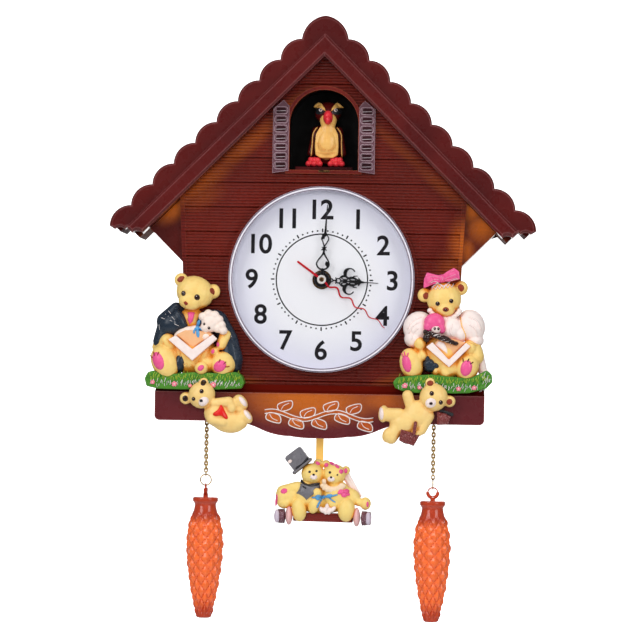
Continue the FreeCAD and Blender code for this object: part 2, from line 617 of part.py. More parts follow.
def cone(x):
    """A cone-shaped weight with a collar, a neck and a long tapering body."""
    body = [V(7.4, 0, -160.0), V(9.6, 0, -166.0), V(13.0, 0, -185.0), V(11.0, 0, -208.0),
            V(7.6, 0, -228.0), V(5.3, 0, CONE_FOOT + 1.0)]
    curve = Part.BSplineCurve()
    curve.interpolate(body)
    corners = [V(4.6, 0, CONE_FOOT), V(0, 0, CONE_FOOT), V(0, 0, CONE_TOP), V(7.0, 0, CONE_TOP),
               V(9.0, 0, CONE_TOP - 1.0), V(9.0, 0, -157.5), V(7.4, 0, -160.0)]
    edges = [curve.toShape(), Part.makeLine(body[-1], corners[0])]
    edges += [Part.makeLine(a, b) for a, b in zip(corners, corners[1:])]
    solid = Part.makeSolid(Part.Face(Part.Wire(edges)).revolve(V(0, 0, 0), V(0, 0, 1), 360))
    solid.translate(V(x, CHAIN_Y, 0))
    hole = Part.makeCylinder(0.95, 1.2, V(x, CHAIN_Y, CONE_TOP - 1.1), V(0, 0, 1))
    return solid.cut(hole)


# ---------------------------------------------------------------- bear figures
def large_figure(side, head, ears, body, shoulders, feet, hands, book):
    """A seated bear on a patch of grass, with its back flat on the wall."""
    y = -51.5
    grass = prism([(side * 52.5, -79.0), (side * 121.0, -79.0), (side * 121.0, -73.0), (side * 108.0, -66.5),
                   (side * 66.0, -66.5), (side * 54.0, -72.0)], -60.5, WALL_FRONT)
    pieces = [pill(head[0], y - 1.0, head[1], 13.2, 10.5, 12.2)]
    pieces += [ball(x, y, z, 4.6) for x, z in ears]
    pieces.append(pill(body[0], y, body[1], 20.5, 10.5, 25.0))
    pieces += [pill(x, y, z, 12.5, 9.0, 17.0) for x, z in shoulders]
    pieces += [pill(x, y - 4.5, z, 8.2, 8.0, 8.6) for x, z in feet]
    pieces += [ball(x, y - 6.5, z, 5.6) for x, z in hands]
    pieces.append(prism([(book - 16.5, -42.0), (book, -55.0), (book + 16.5, -40.5), (book + 15.0, -44.5),
                         (book, -59.0), (book - 15.0, -46.0)], -64.0, -50.0))
    return fused(pieces + [grass]).cut(block(-200, 200, WALL_FRONT, 0, -200, 100))


def left_figure():
    lamb = pill(-77.3, -60.0, -32.5, 7.8, 6.0, 7.8)
    bear = large_figure(-1, (-87.5, -11.5), ((-97.6, -1.2), (-75.4, -9.4)), (-87.0, -42.0),
                        ((-104.0, -38.0), (-69.5, -38.0)), ((-110.6, -58.0), (-67.4, -59.8)),
                        ((-104.0, -46.5), (-72.0, -46.5)), -89.0)
    return fused([bear, lamb])


def right_figure():
    doll = pill(79.3, -60.5, -30.0, 7.6, 6.0, 7.8)
    bow = [pill(75.6, -54.0, 0.5, 7.0, 4.5, 5.0), pill(90.8, -54.0, 4.0, 7.0, 4.5, 5.0),
           ball(84.4, -53.0, 1.2, 4.4)]
    bear = large_figure(1, (86.0, -13.4), ((72.9, -9.5), (97.3, -4.4)), (88.0, -42.0),
                        ((70.5, -38.5), (104.5, -37.5)), ((63.3, -57.0), (102.9, -59.0)),
                        ((69.5, -44.0), (101.0, -43.5)), 90.0)
    return fused([bear, doll] + bow)


def small_figure(head, ears, body, legs, arms):
    """A small bear that hangs over the apron's edge, with its back flat on the board."""
    y = -60.0
    pieces = [pill(head[0], y - 1.0, head[1], 10.0, 8.5, 9.6)]
    pieces += [ball(x, y, z, 3.4) for x, z in ears]
    pieces.append(pill(body[0], y, body[1], 11.5, 8.0, 10.5))
    for x, z in legs:
        pieces += [pill(x, y - 1.0, z, 5.6, 6.0, 6.2), limb((body[0], y - 0.5, body[1]), (x, y - 1.5, z), 4.1)]
    for x, z in arms:
        pieces += [ball(x, y - 2.0, z, 4.4), limb((body[0], y - 0.5, body[1]), (x, y - 2.0, z), 3.3)]
    return fused(pieces).cut(block(-200, 200, APRON_FRONT, 0, -200, 100))


def left_small_figure():
    heart = pill(-69.5, -67.0, -93.5, 4.6, 2.6, 4.4)
    bear = small_figure((-82.7, -82.5), ((-81.8, -73.8), (-94.6, -84.8)), (-67.8, -97.0),
                        ((-53.6, -85.9), (-51.5, -96.2)), ((-75.0, -91.5), (-66.0, -89.0)))
    return fused([bear, heart])


def right_small_figure():
    basket = limb((60.8, -61.0, -101.0), (60.8, -61.0, -114.0), 5.4)
    backpack = pill(82.5, -60.0, -92.5, 8.5, 5.0, 9.5)
    bear = small_figure((78.0, -80.2), ((75.9, -69.6), (89.3, -83.0)), (65.5, -93.0),
                        ((46.3, -92.6), (50.0, -108.5)), ((60.7, -80.2), (72.0, -92.0)))
    return fused([bear, basket, backpack])


def figures():
    """The four bears, cut back where they rest on the apron, the dial's rim and each other."""
    apron = apron_board()
    rim = disc(RIM_R + RIM_GAP, WALL_FRONT - 16.0, WALL_FRONT)
    large = {"left": left_figure().cut(apron).cut(rim), "right": right_figure().cut(apron).cut(rim)}
    small = {"left": left_small_figure(), "right": right_small_figure()}
    for side in ("left", "right"):
        save(side + "_figure", large[side])
        save(side + "_small_figure", small[side].cut(apron).cut(large[side]))


# ---------------------------------------------------------------- the whole clock
def build():
    os.makedirs("parts", exist_ok=True)
    save("roof_fascia", roof_fascia())
    save("roof_shell", roof_shell())
    save("front_wall", front_wall())
    save("case_frame", case_frame())
    save("rear_cover", rear_cover())
    save("case_screws", *case_screws())
    save("apron_board", apron_board())
    save("apron_ornament", apron_ornament())
    save("right_shutter", shutter())
    save("left_shutter", mirrored(shutter()))
    save("door_rim", door_rim())

    save("bird_box", bird_box())
    save("bird_carriage", bird_carriage())
    save("bird_figure", bird_figure())
    save("bird_pinion", bird_pinion())
    save("bird_motor", bird_motor())
    save("speaker", disc(14.0, -11.0, -COVER, *SPEAKER))

    save("dial_plate", tube(BEZEL_R - 0.2, 4.05, -42.0, CASE_FRONT))
    save("bezel_ring", tube(BEZEL_R, DIAL_R, -51.5, -42.0).cut(disc(DIAL_R + 0.9, -50.2, -48.8)))
    save("lens", disc(DIAL_R + 0.85, -50.1, -48.9))
    save("dial_nut_and_washer", dial_nut(), tube(6.7, 4.05, -42.55, -42.0))
    save("hour_hand", hand(39.8, 5.0, 0.0, -45.4, -44.9, 3.4, 1.65, 92.9))
    save("minute_hand", hand(52.9, 4.2, 0.0, -46.5, -46.0, 3.2, 0.75, 3.6))
    second = hand(56.7, 1.2, 21.4, -47.6, -47.1, 2.4, 0, 126.0)
    save("second_hand", fused([second, disc(3.1, -48.1, -47.6)]))

    movement()
    pendulum()
    save("bob_figure", bob_figure())
    chains()
    figures()


build()
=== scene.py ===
import math
import random

import bpy
import numpy as np
from mathutils import Matrix, Vector
from mathutils.bvhtree import BVHTree


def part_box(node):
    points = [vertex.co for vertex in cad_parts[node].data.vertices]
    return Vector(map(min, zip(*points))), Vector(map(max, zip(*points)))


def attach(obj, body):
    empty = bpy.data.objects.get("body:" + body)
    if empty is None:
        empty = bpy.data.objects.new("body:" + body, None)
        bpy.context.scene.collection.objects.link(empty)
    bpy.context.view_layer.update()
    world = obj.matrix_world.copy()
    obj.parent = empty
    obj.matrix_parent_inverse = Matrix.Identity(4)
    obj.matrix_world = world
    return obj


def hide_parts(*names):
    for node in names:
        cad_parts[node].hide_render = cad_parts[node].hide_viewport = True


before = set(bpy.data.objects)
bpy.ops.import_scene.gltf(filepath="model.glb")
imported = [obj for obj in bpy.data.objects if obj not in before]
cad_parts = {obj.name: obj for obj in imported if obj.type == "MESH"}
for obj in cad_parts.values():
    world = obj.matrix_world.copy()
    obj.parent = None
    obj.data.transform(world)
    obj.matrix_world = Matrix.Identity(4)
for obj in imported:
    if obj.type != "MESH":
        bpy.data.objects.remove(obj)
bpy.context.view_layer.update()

MM = 0.001
DICE = random.Random(11)

dial_low, dial_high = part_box("dial_plate")
# Every measure below is in mm from the dial's centre, and y is from the wall.
DIAL = (dial_low + dial_high) / 2


def place(x, y, z):
    """The world's point for x and z in mm from the dial's centre and y in mm from the wall."""
    return Vector((DIAL.x + x * MM, y * MM, DIAL.z + z * MM))


def node_box(name):
    """The CAD node's lowest and highest corner in mm, x and z from the dial's centre."""
    low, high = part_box(name)
    return [((p.x - DIAL.x) / MM, p.y / MM, (p.z - DIAL.z) / MM) for p in (low, high)]


# ---------------------------------------------------------------- shapes
class Shape:
    """Points in mm and faces, gathered into one mesh."""

    def __init__(self):
        self.points = []
        self.faces = []

    def add(self, points, faces):
        start = len(self.points)
        self.points += [tuple(p) for p in points]
        self.faces += [tuple(start + i for i in face) for face in faces]
        return self

    def merge(self, *others):
        for other in others:
            self.add(other.points, other.faces)
        return self

    def rows(self, rows, closed=True, capped=True):
        """Quads between rows of points. Closed rows make a tube, and caps shut its ends."""
        count = len(rows[0])
        points = [p for row in rows for p in row]
        faces = []
        for r in range(len(rows) - 1):
            for c in range(count if closed else count - 1):
                after = (c + 1) % count
                this, following = r * count, (r + 1) * count
                faces.append((this + c, this + after, following + after, following + c))
        if capped:
            faces.append(tuple(reversed(range(count))))
            faces.append(tuple(range((len(rows) - 1) * count, len(rows) * count)))
        return self.add(points, faces)

    def egg(self, centre, radii, turn=0.0, steps=20):
        """An ellipsoid. It turns in the picture plane, counterclockwise from the front."""
        cos, sin = math.cos(math.radians(turn)), math.sin(math.radians(turn))
        rings = steps // 2
        points = []
        for ring in range(1, rings):
            up = math.cos(math.pi * ring / rings)
            out = math.sin(math.pi * ring / rings)
            for step in range(steps):
                around = 2 * math.pi * step / steps
                points.append((out * math.cos(around), out * math.sin(around), up))
        points += [(0, 0, 1), (0, 0, -1)]
        placed = []
        for x, y, z in points:
            x, y, z = x * radii[0], y * radii[1], z * radii[2]
            placed.append((centre[0] + x * cos - z * sin, centre[1] + y, centre[2] + x * sin + z * cos))
        faces = []
        top, foot, last = len(points) - 2, len(points) - 1, (rings - 2) * steps
        for step in range(steps):
            after = (step + 1) % steps
            faces.append((top, step, after))
            faces.append((foot, last + after, last + step))
            for ring in range(rings - 2):
                a, b = ring * steps, (ring + 1) * steps
                faces.append((a + step, b + step, b + after, a + after))
        return self.add(placed, faces)

    def eggs(self, *rows):
        """Ellipsoids, each a row of its centre's x, y, z, its three radii and perhaps its turn."""
        for x, y, z, half_x, half_y, half_z, *turn in rows:
            self.egg((x, y, z), (half_x, half_y, half_z), *turn)
        return self

    def limbs(self, *rows):
        """Limbs, each a row of its start's x, y, z, its end's, and the radii at both."""
        for row in rows:
            self.limb(row[:3], row[3:6], *row[6:])
        return self

    def limb(self, start, end, r0, r1, deep=1.0, steps=16):
        """A rounded limb between two points; deep scales its thickness along y."""
        length = math.dist(start, end)
        count = max(2, int(length / (0.35 * min(r0, r1))) + 1)
        for i in range(count + 1):
            t = i / count
            centre = [a + (b - a) * t for a, b in zip(start, end)]
            radius = r0 + (r1 - r0) * t
            self.egg(centre, (radius, radius * deep, radius), 0.0, steps)
        return self

    def prism(self, outline, y0, y1):
        """A plate with that outline of (x, z) points, from y0 to y1."""
        count = len(outline)
        points = [(x, y, z) for y in (y0, y1) for x, z in outline]
        faces = [tuple(range(count)), tuple(reversed(range(count, 2 * count)))]
        for i in range(count):
            after = (i + 1) % count
            faces.append((i, i + count, after + count, after))
        return self.add(points, faces)

    def ribbon(self, path, y0, y1):
        """A flat strip along (x, z, width) points, with rounded ends."""
        sides = [[], []]
        for i, (x, z, width) in enumerate(path):
            before, after = path[max(i - 1, 0)], path[min(i + 1, len(path) - 1)]
            dx, dz = after[0] - before[0], after[1] - before[1]
            length = math.hypot(dx, dz) or 1.0
            for side, sign in zip(sides, (1, -1)):
                side.append((x - sign * dz / length * width / 2, z + sign * dx / length * width / 2))
        self.rows([[(a, y0, b), (a, y1, b), (c, y1, d), (c, y0, d)] for (a, b), (c, d) in zip(*sides)])
        for x, z, width in (path[0], path[-1]):
            self.disc(x, z, width / 2, y0, y1, 12)
        return self

    def disc(self, x, z, radius, y0, y1, steps=32):
        """A round plate from y0 to y1."""
        angles = [2 * math.pi * i / steps for i in range(steps)]
        return self.prism([(x + radius * math.cos(a), z + radius * math.sin(a)) for a in angles], y0, y1)

    def ring(self, x, z, outer, inner, y0, y1, steps=96):
        """A flat ring from y0 to y1."""
        rows = []
        for i in range(steps):
            cos, sin = math.cos(2 * math.pi * i / steps), math.sin(2 * math.pi * i / steps)
            rows.append([(x + r * cos, y, z + r * sin) for r, y in
                         ((outer, y0), (outer, y1), (inner, y1), (inner, y0))])
        rows.append(rows[0])
        return self.rows(rows, capped=False)


def smooth_path(points, step=0.5, closed=False):
    """A smooth line through the points, sampled about every step mm. Extra values such as widths follow."""
    pts = [np.array(p, float) for p in points]
    count = len(pts)
    out = []
    for i in range(count if closed else count - 1):
        if closed:
            a, b, c, d = (pts[(i + k) % count] for k in (-1, 0, 1, 2))
        else:
            a, b, c, d = pts[max(i - 1, 0)], pts[i], pts[i + 1], pts[min(i + 2, count - 1)]
        steps = max(2, int(np.linalg.norm((c - b)[:2]) / step))
        for k in range(steps):
            t = k / steps
            out.append(0.5 * ((2 * b) + (c - a) * t + (2 * a - 5 * b + 4 * c - d) * t * t
                              + (3 * b - a - 3 * c + d) * t ** 3))
    if not closed:
        out.append(pts[-1])
    return [tuple(p) for p in out]


def melt(shape, voxel=0.6, smoothing=5):
    """One closed skin round everything in the shape."""
    mesh = bpy.data.meshes.new("melting")
    mesh.from_pydata(shape.points, [], shape.faces)
    obj = bpy.data.objects.new("melting", mesh)
    bpy.context.scene.collection.objects.link(obj)
    skin = obj.modifiers.new("skin", "REMESH")
    skin.mode = "VOXEL"
    skin.voxel_size = voxel
    if smoothing:
        relax = obj.modifiers.new("relax", "SMOOTH")
        relax.factor = 0.5
        relax.iterations = smoothing
    evaluated = obj.evaluated_get(bpy.context.evaluated_depsgraph_get()).to_mesh()
    melted = Shape().add([tuple(v.co) for v in evaluated.vertices],
                         [tuple(p.vertices) for p in evaluated.polygons])
    bpy.data.objects.remove(obj)
    bpy.data.meshes.remove(mesh)
    return melted


class Skin:
    """The front of some shapes, to lay painted details on."""

    def __init__(self, *shapes):
        whole = Shape().merge(*shapes)
        self.tree = BVHTree.FromPolygons([Vector(p) for p in whole.points], whole.faces)
        self.middle = sum(p[1] for p in whole.points) / len(whole.points)

    def y(self, x, z):
        """How far the surface is from the wall at (x, z)."""
        hit = self.tree.ray_cast(Vector((x, -500, z)), Vector((0, 1, 0)))[0]
        if hit is None:
            hit = self.tree.find_nearest(Vector((x, self.middle, z)))[0]
        return hit.y


def oval(x, z, half_x, half_z, turn=0.0, steps=24):
    """An ellipse as a closed outline, turned counterclockwise from the front."""
    cos, sin = math.cos(math.radians(turn)), math.sin(math.radians(turn))
    points = []
    for i in range(steps):
        u, v = half_x * math.cos(2 * math.pi * i / steps), half_z * math.sin(2 * math.pi * i / steps)
        points.append((x + u * cos - v * sin, z + u * sin + v * cos))
    return points


def soft(points):
    """A smooth closed outline through (x, z) points."""
    return [p[:2] for p in smooth_path(points, 0.7, closed=True)]


def patch(shape, outline, skin, lift=0.3, rings=5):
    """A thin domed layer that follows the skin inside an outline of (x, z) points."""
    count = len(outline)
    cx, cz = sum(p[0] for p in outline) / count, sum(p[1] for p in outline) / count
    rows = []
    for ring in range(rings, 0, -1):
        t = ring / rings
        rise = lift * math.sqrt(max(0.0, 1 - t ** 3))
        row = []
        for x, z in outline:
            px, pz = cx + (x - cx) * t, cz + (z - cz) * t
            row.append((px, skin.y(px, pz) - rise + (0.05 if ring == rings else 0.0), pz))
        rows.append(row)
    back = [(x, y + 0.5, z) for x, y, z in rows[0]]
    shape.rows([back] + rows, capped=False)
    start = len(shape.points) - count
    shape.points.append((cx, skin.y(cx, cz) - lift, cz))
    for i in range(count):
        shape.faces.append((start + i, start + (i + 1) % count, len(shape.points) - 1))
    first = start - count * rings
    shape.points.append((cx, skin.y(cx, cz) + 0.5, cz))
    for i in range(count):
        shape.faces.append((first + (i + 1) % count, first + i, len(shape.points) - 1))
    return shape


def paint_ovals(shape, skin, lift, *ovals):
    """Ovals on the skin, each a row of what oval() takes."""
    for row in ovals:
        patch(shape, oval(*row), skin, lift)


def stroke(shape, points, width, skin, lift=0.25, step=0.45, smooth=True):
    """A painted or moulded line that follows the skin."""
    path = smooth_path(points, step) if smooth else points
    rows = []
    for i, (x, z) in enumerate(path):
        before, after = path[max(i - 1, 0)], path[min(i + 1, len(path) - 1)]
        dx, dz = after[0] - before[0], after[1] - before[1]
        length = math.hypot(dx, dz) or 1.0
        share = min(1.0, (min(i, len(path) - 1 - i) + 0.6) * step / width)
        half = width / 2 * math.sqrt(share)
        row = []
        for across, rise in ((-1, -0.1), (-0.6, 0.75), (0, 1), (0.6, 0.75), (1, -0.1)):
            px, pz = x - dz / length * half * across, z + dx / length * half * across
            row.append((px, skin.y(px, pz) - lift * rise * math.sqrt(share), pz))
        row += [(row[4][0], row[4][1] + 0.4, row[4][2]), (row[0][0], row[0][1] + 0.4, row[0][2])]
        rows.append(row)
    return shape.rows(rows)


def strokes(shape, width, skin, lift, lines, smooth=True):
    """Several lines of one width."""
    for line in lines:
        stroke(shape, line, width, skin, lift, smooth=smooth)


def piece(name, shape, paint, body, replaces=(), smooth=True):
    """One visual mesh that rides a body, perhaps in place of some CAD nodes."""
    mesh = bpy.data.meshes.new(name)
    mesh.from_pydata([place(*p) for p in shape.points], [], shape.faces)
    mesh.validate()
    obj = bpy.data.objects.new(name, mesh)
    bpy.context.scene.collection.objects.link(obj)
    mesh.materials.append(paint)
    mesh.polygons.foreach_set("use_smooth", [smooth] * len(mesh.polygons))
    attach(obj, body)
    if replaces:
        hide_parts(*replaces)
    return obj


def pieces(prefix, body, rows):
    """Several pieces on one body: each row has the end of its name, its shape and its paint."""
    for name, shape, paint in rows:
        piece(prefix + name, shape, paint, body)


def node_shape(name):
    """A CAD node's surface as a Shape, in mm from the dial's centre."""
    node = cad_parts[name]
    points = [node.matrix_world @ v.co for v in node.data.vertices]
    return Shape().add([((p.x - DIAL.x) / MM, p.y / MM, (p.z - DIAL.z) / MM) for p in points],
                       [tuple(p.vertices) for p in node.data.polygons])


# ---------------------------------------------------------------- materials
def rgb(red, green, blue):
    """An sRGB colour, 0 to 255, as the linear one that shaders take."""
    linear = [(c / 255 / 12.92) if c <= 10 else ((c / 255 + 0.055) / 1.055) ** 2.4
              for c in (red, green, blue)]
    return (*linear, 1.0)


class Paint:
    """A material and short names for the nodes that it is made of. Lengths are in mm."""

    def __init__(self, name, **sockets):
        self.material = bpy.data.materials.new(name)
        self.material.use_nodes = True
        self.nodes = self.material.node_tree.nodes
        self.links = self.material.node_tree.links
        self.shader = self.nodes["Principled BSDF"]
        for key, value in sockets.items():
            self.shader.inputs[key.replace("_", " ")].default_value = value
        self.where = self.nodes.new("ShaderNodeTexCoord").outputs["Object"]

    def node(self, kind, *inputs, **settings):
        """Adds a shader node; an input can be a socket, a value or None."""
        node = self.nodes.new("ShaderNode" + kind)
        for key, value in settings.items():
            setattr(node, key, value)
        for i, value in enumerate(inputs):
            if value is None:
                continue
            if isinstance(value, bpy.types.NodeSocket):
                self.links.new(value, node.inputs[i])
            else:
                node.inputs[i].default_value = value
        return node

    def noise(self, size, detail=3.0, stretch=(1, 1, 1)):
        """Noise with features of that size in mm, stretched along each axis."""
        scale = self.node("Mapping", self.where, None, None, tuple(1 / s for s in stretch))
        noise = self.node("TexNoise")
        self.links.new(scale.outputs[0], noise.inputs["Vector"])
        noise.inputs["Scale"].default_value = 1 / (size * MM)
        noise.inputs["Detail"].default_value = detail
        return noise.outputs["Fac"]

    def ramp(self, value, low, high, out_low=0.0, out_high=1.0):
        """Maps low..high smoothly to out_low..out_high."""
        node = self.node("MapRange", value, low, high, out_low, out_high, interpolation_type="SMOOTHSTEP")
        return node.outputs[0]

    def mix(self, share, first, second):
        """The first colour where share is 0 and the second where it is 1."""
        node = self.nodes.new("ShaderNodeMix")
        node.data_type = "RGBA"
        for socket, value in ((node.inputs[0], share), (node.inputs[6], first), (node.inputs[7], second)):
            if isinstance(value, bpy.types.NodeSocket):
                self.links.new(value, socket)
            else:
                socket.default_value = value
        return node.outputs[2]

    def math(self, operation, first, second=0.0):
        return self.node("Math", first, second, operation=operation).outputs[0]

    def spot(self, x, z, half_x, half_z, turn=0.0, sharp=0.0):
        """1 in the middle of an oval in the picture plane, falling to 0 at its edge."""
        middle = place(x, 0, z)
        middle = (middle.x, 0, middle.z)
        shifted = self.node("VectorMath", self.where, middle, operation="SUBTRACT").outputs[0]
        turned = self.node("Mapping", shifted, None, (0, math.radians(turn), 0))
        sized = self.node("VectorMath", turned.outputs[0], (1 / (half_x * MM), 0, 1 / (half_z * MM)),
                          operation="MULTIPLY").outputs[0]
        length = self.node("VectorMath", sized, operation="LENGTH").outputs["Value"]
        return self.ramp(length, sharp, 1.0, 1.0, 0.0)

    def spots(self, ovals):
        """The strongest of several ovals at each place."""
        total = None
        for x, z, half_x, half_z, turn, strength in ovals:
            share = self.math("MULTIPLY", self.spot(x, z, half_x, half_z, turn), strength)
            total = share if total is None else self.math("MAXIMUM", total, share)
        return total

    def ribs(self, foot, board, pitch):
        """1 along the ribs of level clapboards, falling to 0 between the ribs: a mask for painted highlights
        on the crests and painted shade between them.
        """
        up = self.math("SUBTRACT", self.node("SeparateXYZ", self.where).outputs["Z"], place(0, 0, foot).z)
        within = self.math("FRACT", self.math("DIVIDE", up, board * MM))
        step = self.math("FRACT", self.math("MULTIPLY", within, board / pitch))
        crest, flat, slope = 0.56, 0.1, 0.42      # shares of a rib's height
        away = self.math("ABSOLUTE", self.math("SUBTRACT", step, crest))
        return self.ramp(away, flat, slope, 1.0, 0.0)

    def creases(self, distance, low=0.35, high=0.95):
        """0 deep in the creases of the moulding and 1 on open surface: an ambient-occlusion mask for painted
        shade.
        """
        node = self.node("AmbientOcclusion", samples=8)
        node.inputs["Distance"].default_value = distance * MM
        return self.ramp(node.outputs["AO"], low, high)

    def edges(self, radius, low=0.02, high=0.25):
        """1 along sharp edges: a mask for painted highlights."""
        bevel = self.node("Bevel", radius * MM, samples=4)
        normal = self.nodes.new("ShaderNodeNewGeometry").outputs["Normal"]
        cosine = self.node("VectorMath", bevel.outputs[0], normal, operation="DOT_PRODUCT").outputs["Value"]
        return self.ramp(self.math("SUBTRACT", 1.0, cosine), low, high)

    def colour(self, value):
        self.links.new(value, self.shader.inputs["Base Color"])
        return self

    def rough(self, value):
        self.links.new(value, self.shader.inputs["Roughness"])
        return self

    def bump(self, height, depth, strength=1.0):
        """Relief of that depth in mm."""
        node = self.nodes.new("ShaderNodeBump")
        node.inputs["Strength"].default_value = strength
        node.inputs["Distance"].default_value = depth * MM
        self.links.new(height, node.inputs["Height"])
        self.links.new(node.outputs[0], self.shader.inputs["Normal"])
        return self


# Painted highlight on the rib crests, painted shade in the rib grooves and painted shade on the apron's cove.
RIB_HIGHLIGHT, RIB_GROOVE_SHADE, COVE_SHADE = (186, 76, 50), (50, 8, 6), (92, 18, 10)


def moulded(name, main, shade, ovals=(), glow=None, edge=None, rough=(0.22, 0.38), coat=0.0, rim=0.8,
            mirror=0.22, shaded_above=None, ribs=None):
    """Glossy moulded plastic, airbrushed in ovals, with painted highlights along its edges and a slightly
    uneven gloss; it can also paint highlight and shade on clapboard ribs and shade above a height.
    """
    paint = Paint(name, Coat_Weight=coat, Coat_Roughness=0.1, IOR=1.5, Specular_IOR_Level=mirror)
    base = paint.mix(paint.ramp(paint.noise(38, 2), 0.3, 0.7), rgb(*main), rgb(*shade))
    if ovals:
        streak = paint.ramp(paint.noise(3.0, 3, (14, 1, 1)), 0.25, 0.75, 0.88, 1.02)
        base = paint.mix(paint.math("MULTIPLY", paint.spots(ovals), streak), base, rgb(*glow))
    fine = paint.noise(0.9, 4)
    base = paint.mix(paint.ramp(fine, 0.35, 0.75, 0.0, 0.16), base, rgb(*[c * 0.6 for c in main]))
    # painted highlights along sharp edges
    if edge:
        base = paint.mix(paint.math("MULTIPLY", paint.edges(rim, 0.01, 0.16), 0.85), base, rgb(*edge))
    # painted highlights on the rib crests and painted shade between the ribs
    if ribs:
        crest = paint.ribs(*ribs)
        base = paint.mix(paint.math("MULTIPLY", crest, 0.1), base, rgb(*RIB_HIGHLIGHT))
        base = paint.mix(paint.ramp(crest, 0.0, 0.5, 0.38, 0.0), base, rgb(*RIB_GROOVE_SHADE))
    # painted shade above that height, with the coat and specular reflection turned off there
    if shaded_above is not None:
        height = paint.node("SeparateXYZ", paint.where).outputs["Z"]
        line = place(0, 0, shaded_above).z
        above = paint.ramp(height, line - 0.5 * MM, line + 0.3 * MM)
        base = paint.mix(above, base, rgb(*COVE_SHADE))
        below = paint.math("SUBTRACT", 1.0, above)
        for socket, amount in (("Coat Weight", coat), ("Specular IOR Level", mirror)):
            paint.links.new(paint.math("MULTIPLY", below, amount), paint.shader.inputs[socket])
    paint.colour(base)
    paint.rough(paint.ramp(paint.noise(7, 4), 0.3, 0.7, *rough))
    paint.bump(paint.noise(1.4, 3), 0.05, 0.35)
    return paint.material


def resin(name, light, shade, crease=2.5, rough=(0.3, 0.5), grain=0.9, depth=0.10, speck=None, low=0.35,
          high=0.95, hair=(1, 1, 1)):
    """Hand-painted moulded figure: painted shade in the creases, slight mottling and a soft sheen."""
    paint = Paint(name, Coat_Weight=0.1, Coat_Roughness=0.2, IOR=1.5, Specular_IOR_Level=0.4)
    # painted shade: the ambient occlusion darkens the colour in the creases
    open_surface = paint.creases(crease, low, high)
    base = paint.mix(open_surface, rgb(*shade), rgb(*light))
    mottle = paint.ramp(paint.noise(4.0, 4), 0.35, 0.75, 0.0, 0.28)
    base = paint.mix(mottle, base, rgb(*[(a + b) / 2 for a, b in zip(light, shade)]))
    if speck:
        share = paint.ramp(paint.noise(0.55, 1), 0.60, 0.70)
        base = paint.mix(share, base, rgb(*speck))
    paint.colour(base)
    paint.rough(paint.ramp(paint.noise(3, 3), 0.3, 0.7, *rough))
    paint.bump(paint.noise(grain, 4, hair), depth, 0.5)
    return paint.material


def metal(name, colour, shade, rough=(0.16, 0.34), brushed=(1, 1, 1)):
    """Plated or bare metal with an uneven tone and gloss."""
    paint = Paint(name, Metallic=1.0)
    tone = paint.ramp(paint.noise(1.6, 4, brushed), 0.3, 0.7)
    paint.colour(paint.mix(tone, rgb(*colour), rgb(*shade)))
    paint.rough(paint.ramp(paint.noise(0.8, 4, brushed), 0.3, 0.7, *rough))
    paint.bump(paint.noise(0.35, 2, brushed), 0.02, 0.3)
    return paint.material


def clear_cover():
    """A thin clear cover: it lets lamps through and keeps its own highlights."""
    paint = Paint("clear_styrene")
    gloss = paint.node("BsdfGlossy")
    gloss.inputs["Color"].default_value = (0.9, 0.9, 0.95, 1)
    paint.links.new(paint.ramp(paint.noise(9, 3), 0.3, 0.7, 0.03, 0.08), gloss.inputs["Roughness"])
    through = paint.node("BsdfTransparent", (0.985, 0.985, 0.99, 1))
    outside = paint.math("SUBTRACT", 1.0, paint.nodes.new("ShaderNodeNewGeometry").outputs["Backfacing"])
    share = paint.math("MULTIPLY", paint.node("Fresnel", 1.38).outputs[0], outside)
    mixed = paint.node("MixShader", share, through.outputs[0], gloss.outputs[0])
    paint.links.new(mixed.outputs[0], paint.nodes["Material Output"].inputs["Surface"])
    paint.nodes.remove(paint.shader)
    return paint.material


def board_material():
    """Green circuit board with paler traces."""
    paint = Paint("circuit_board", Coat_Weight=0.2)
    traces = paint.ramp(paint.noise(1.6, 0, (1, 1, 3)), 0.5, 0.53)
    paint.colour(paint.mix(traces, rgb(30, 92, 52), rgb(60, 130, 70)))
    paint.rough(paint.ramp(traces, 0, 1, 0.55, 0.35))
    return paint.material


def coil_material():
    """Fine copper winding."""
    paint = Paint("winding", Metallic=1.0, Roughness=0.35)
    wave = paint.node("TexWave", wave_type="BANDS", bands_direction="Z")
    paint.links.new(paint.where, wave.inputs["Vector"])
    wave.inputs["Scale"].default_value = 900
    paint.colour(paint.mix(wave.outputs["Fac"], rgb(120, 62, 28), rgb(205, 125, 70)))
    paint.bump(wave.outputs["Fac"], 0.1, 0.6)
    return paint.material


# ---------------------------------------------------------------- the case
GABLE_GLOW = [(-84, 67, 42, 11, 41, 0.6), (-54, 94, 46, 9, 41, 0.62), (-25, 120, 32, 7, 41, 0.5),
              (-88, 58, 26, 14, 20, 0.35), (82, 67, 36, 7, -41, 0.3), (52, 94, 44, 6, -41, 0.26),
              (99, 26, 15, 26, 0, 0.85), (92, 8, 16, 20, 0, 0.35),
              (69, -52, 22, 9, 58, 0.6), (48, -70, 22, 6, 20, 0.3), (-62, -72, 30, 6, 0, 0.5),
              (-66, -30, 10, 22, 20, 0.12)]
GUSSET_GLOW = [(-106, 50, 20, 13, 45, 0.95), (104, 52, 14, 16, 0, 0.95), (112, 38, 16, 16, 0, 0.85),
               (101, 22, 9, 14, 0, 0.6), (98, 0, 6, 30, 0, 0.3)]
APRON_GLOW = [(-8, -85, 76, 22, 0, 0.85), (46, -84, 40, 14, 0, 0.6)]
EAVES_GLOW = [(-100, 48, 60, 12, 45, 0.8), (100, 48, 60, 12, -45, 0.6)]
ORANGE = (208, 104, 14)
CLAPBOARD_RIBS = (-89.0, 17.4, 2.15)      # the lowest board's foot, a board's height and a rib's
APRON_LIP = -79.6                         # the height of the lip at the top of the apron
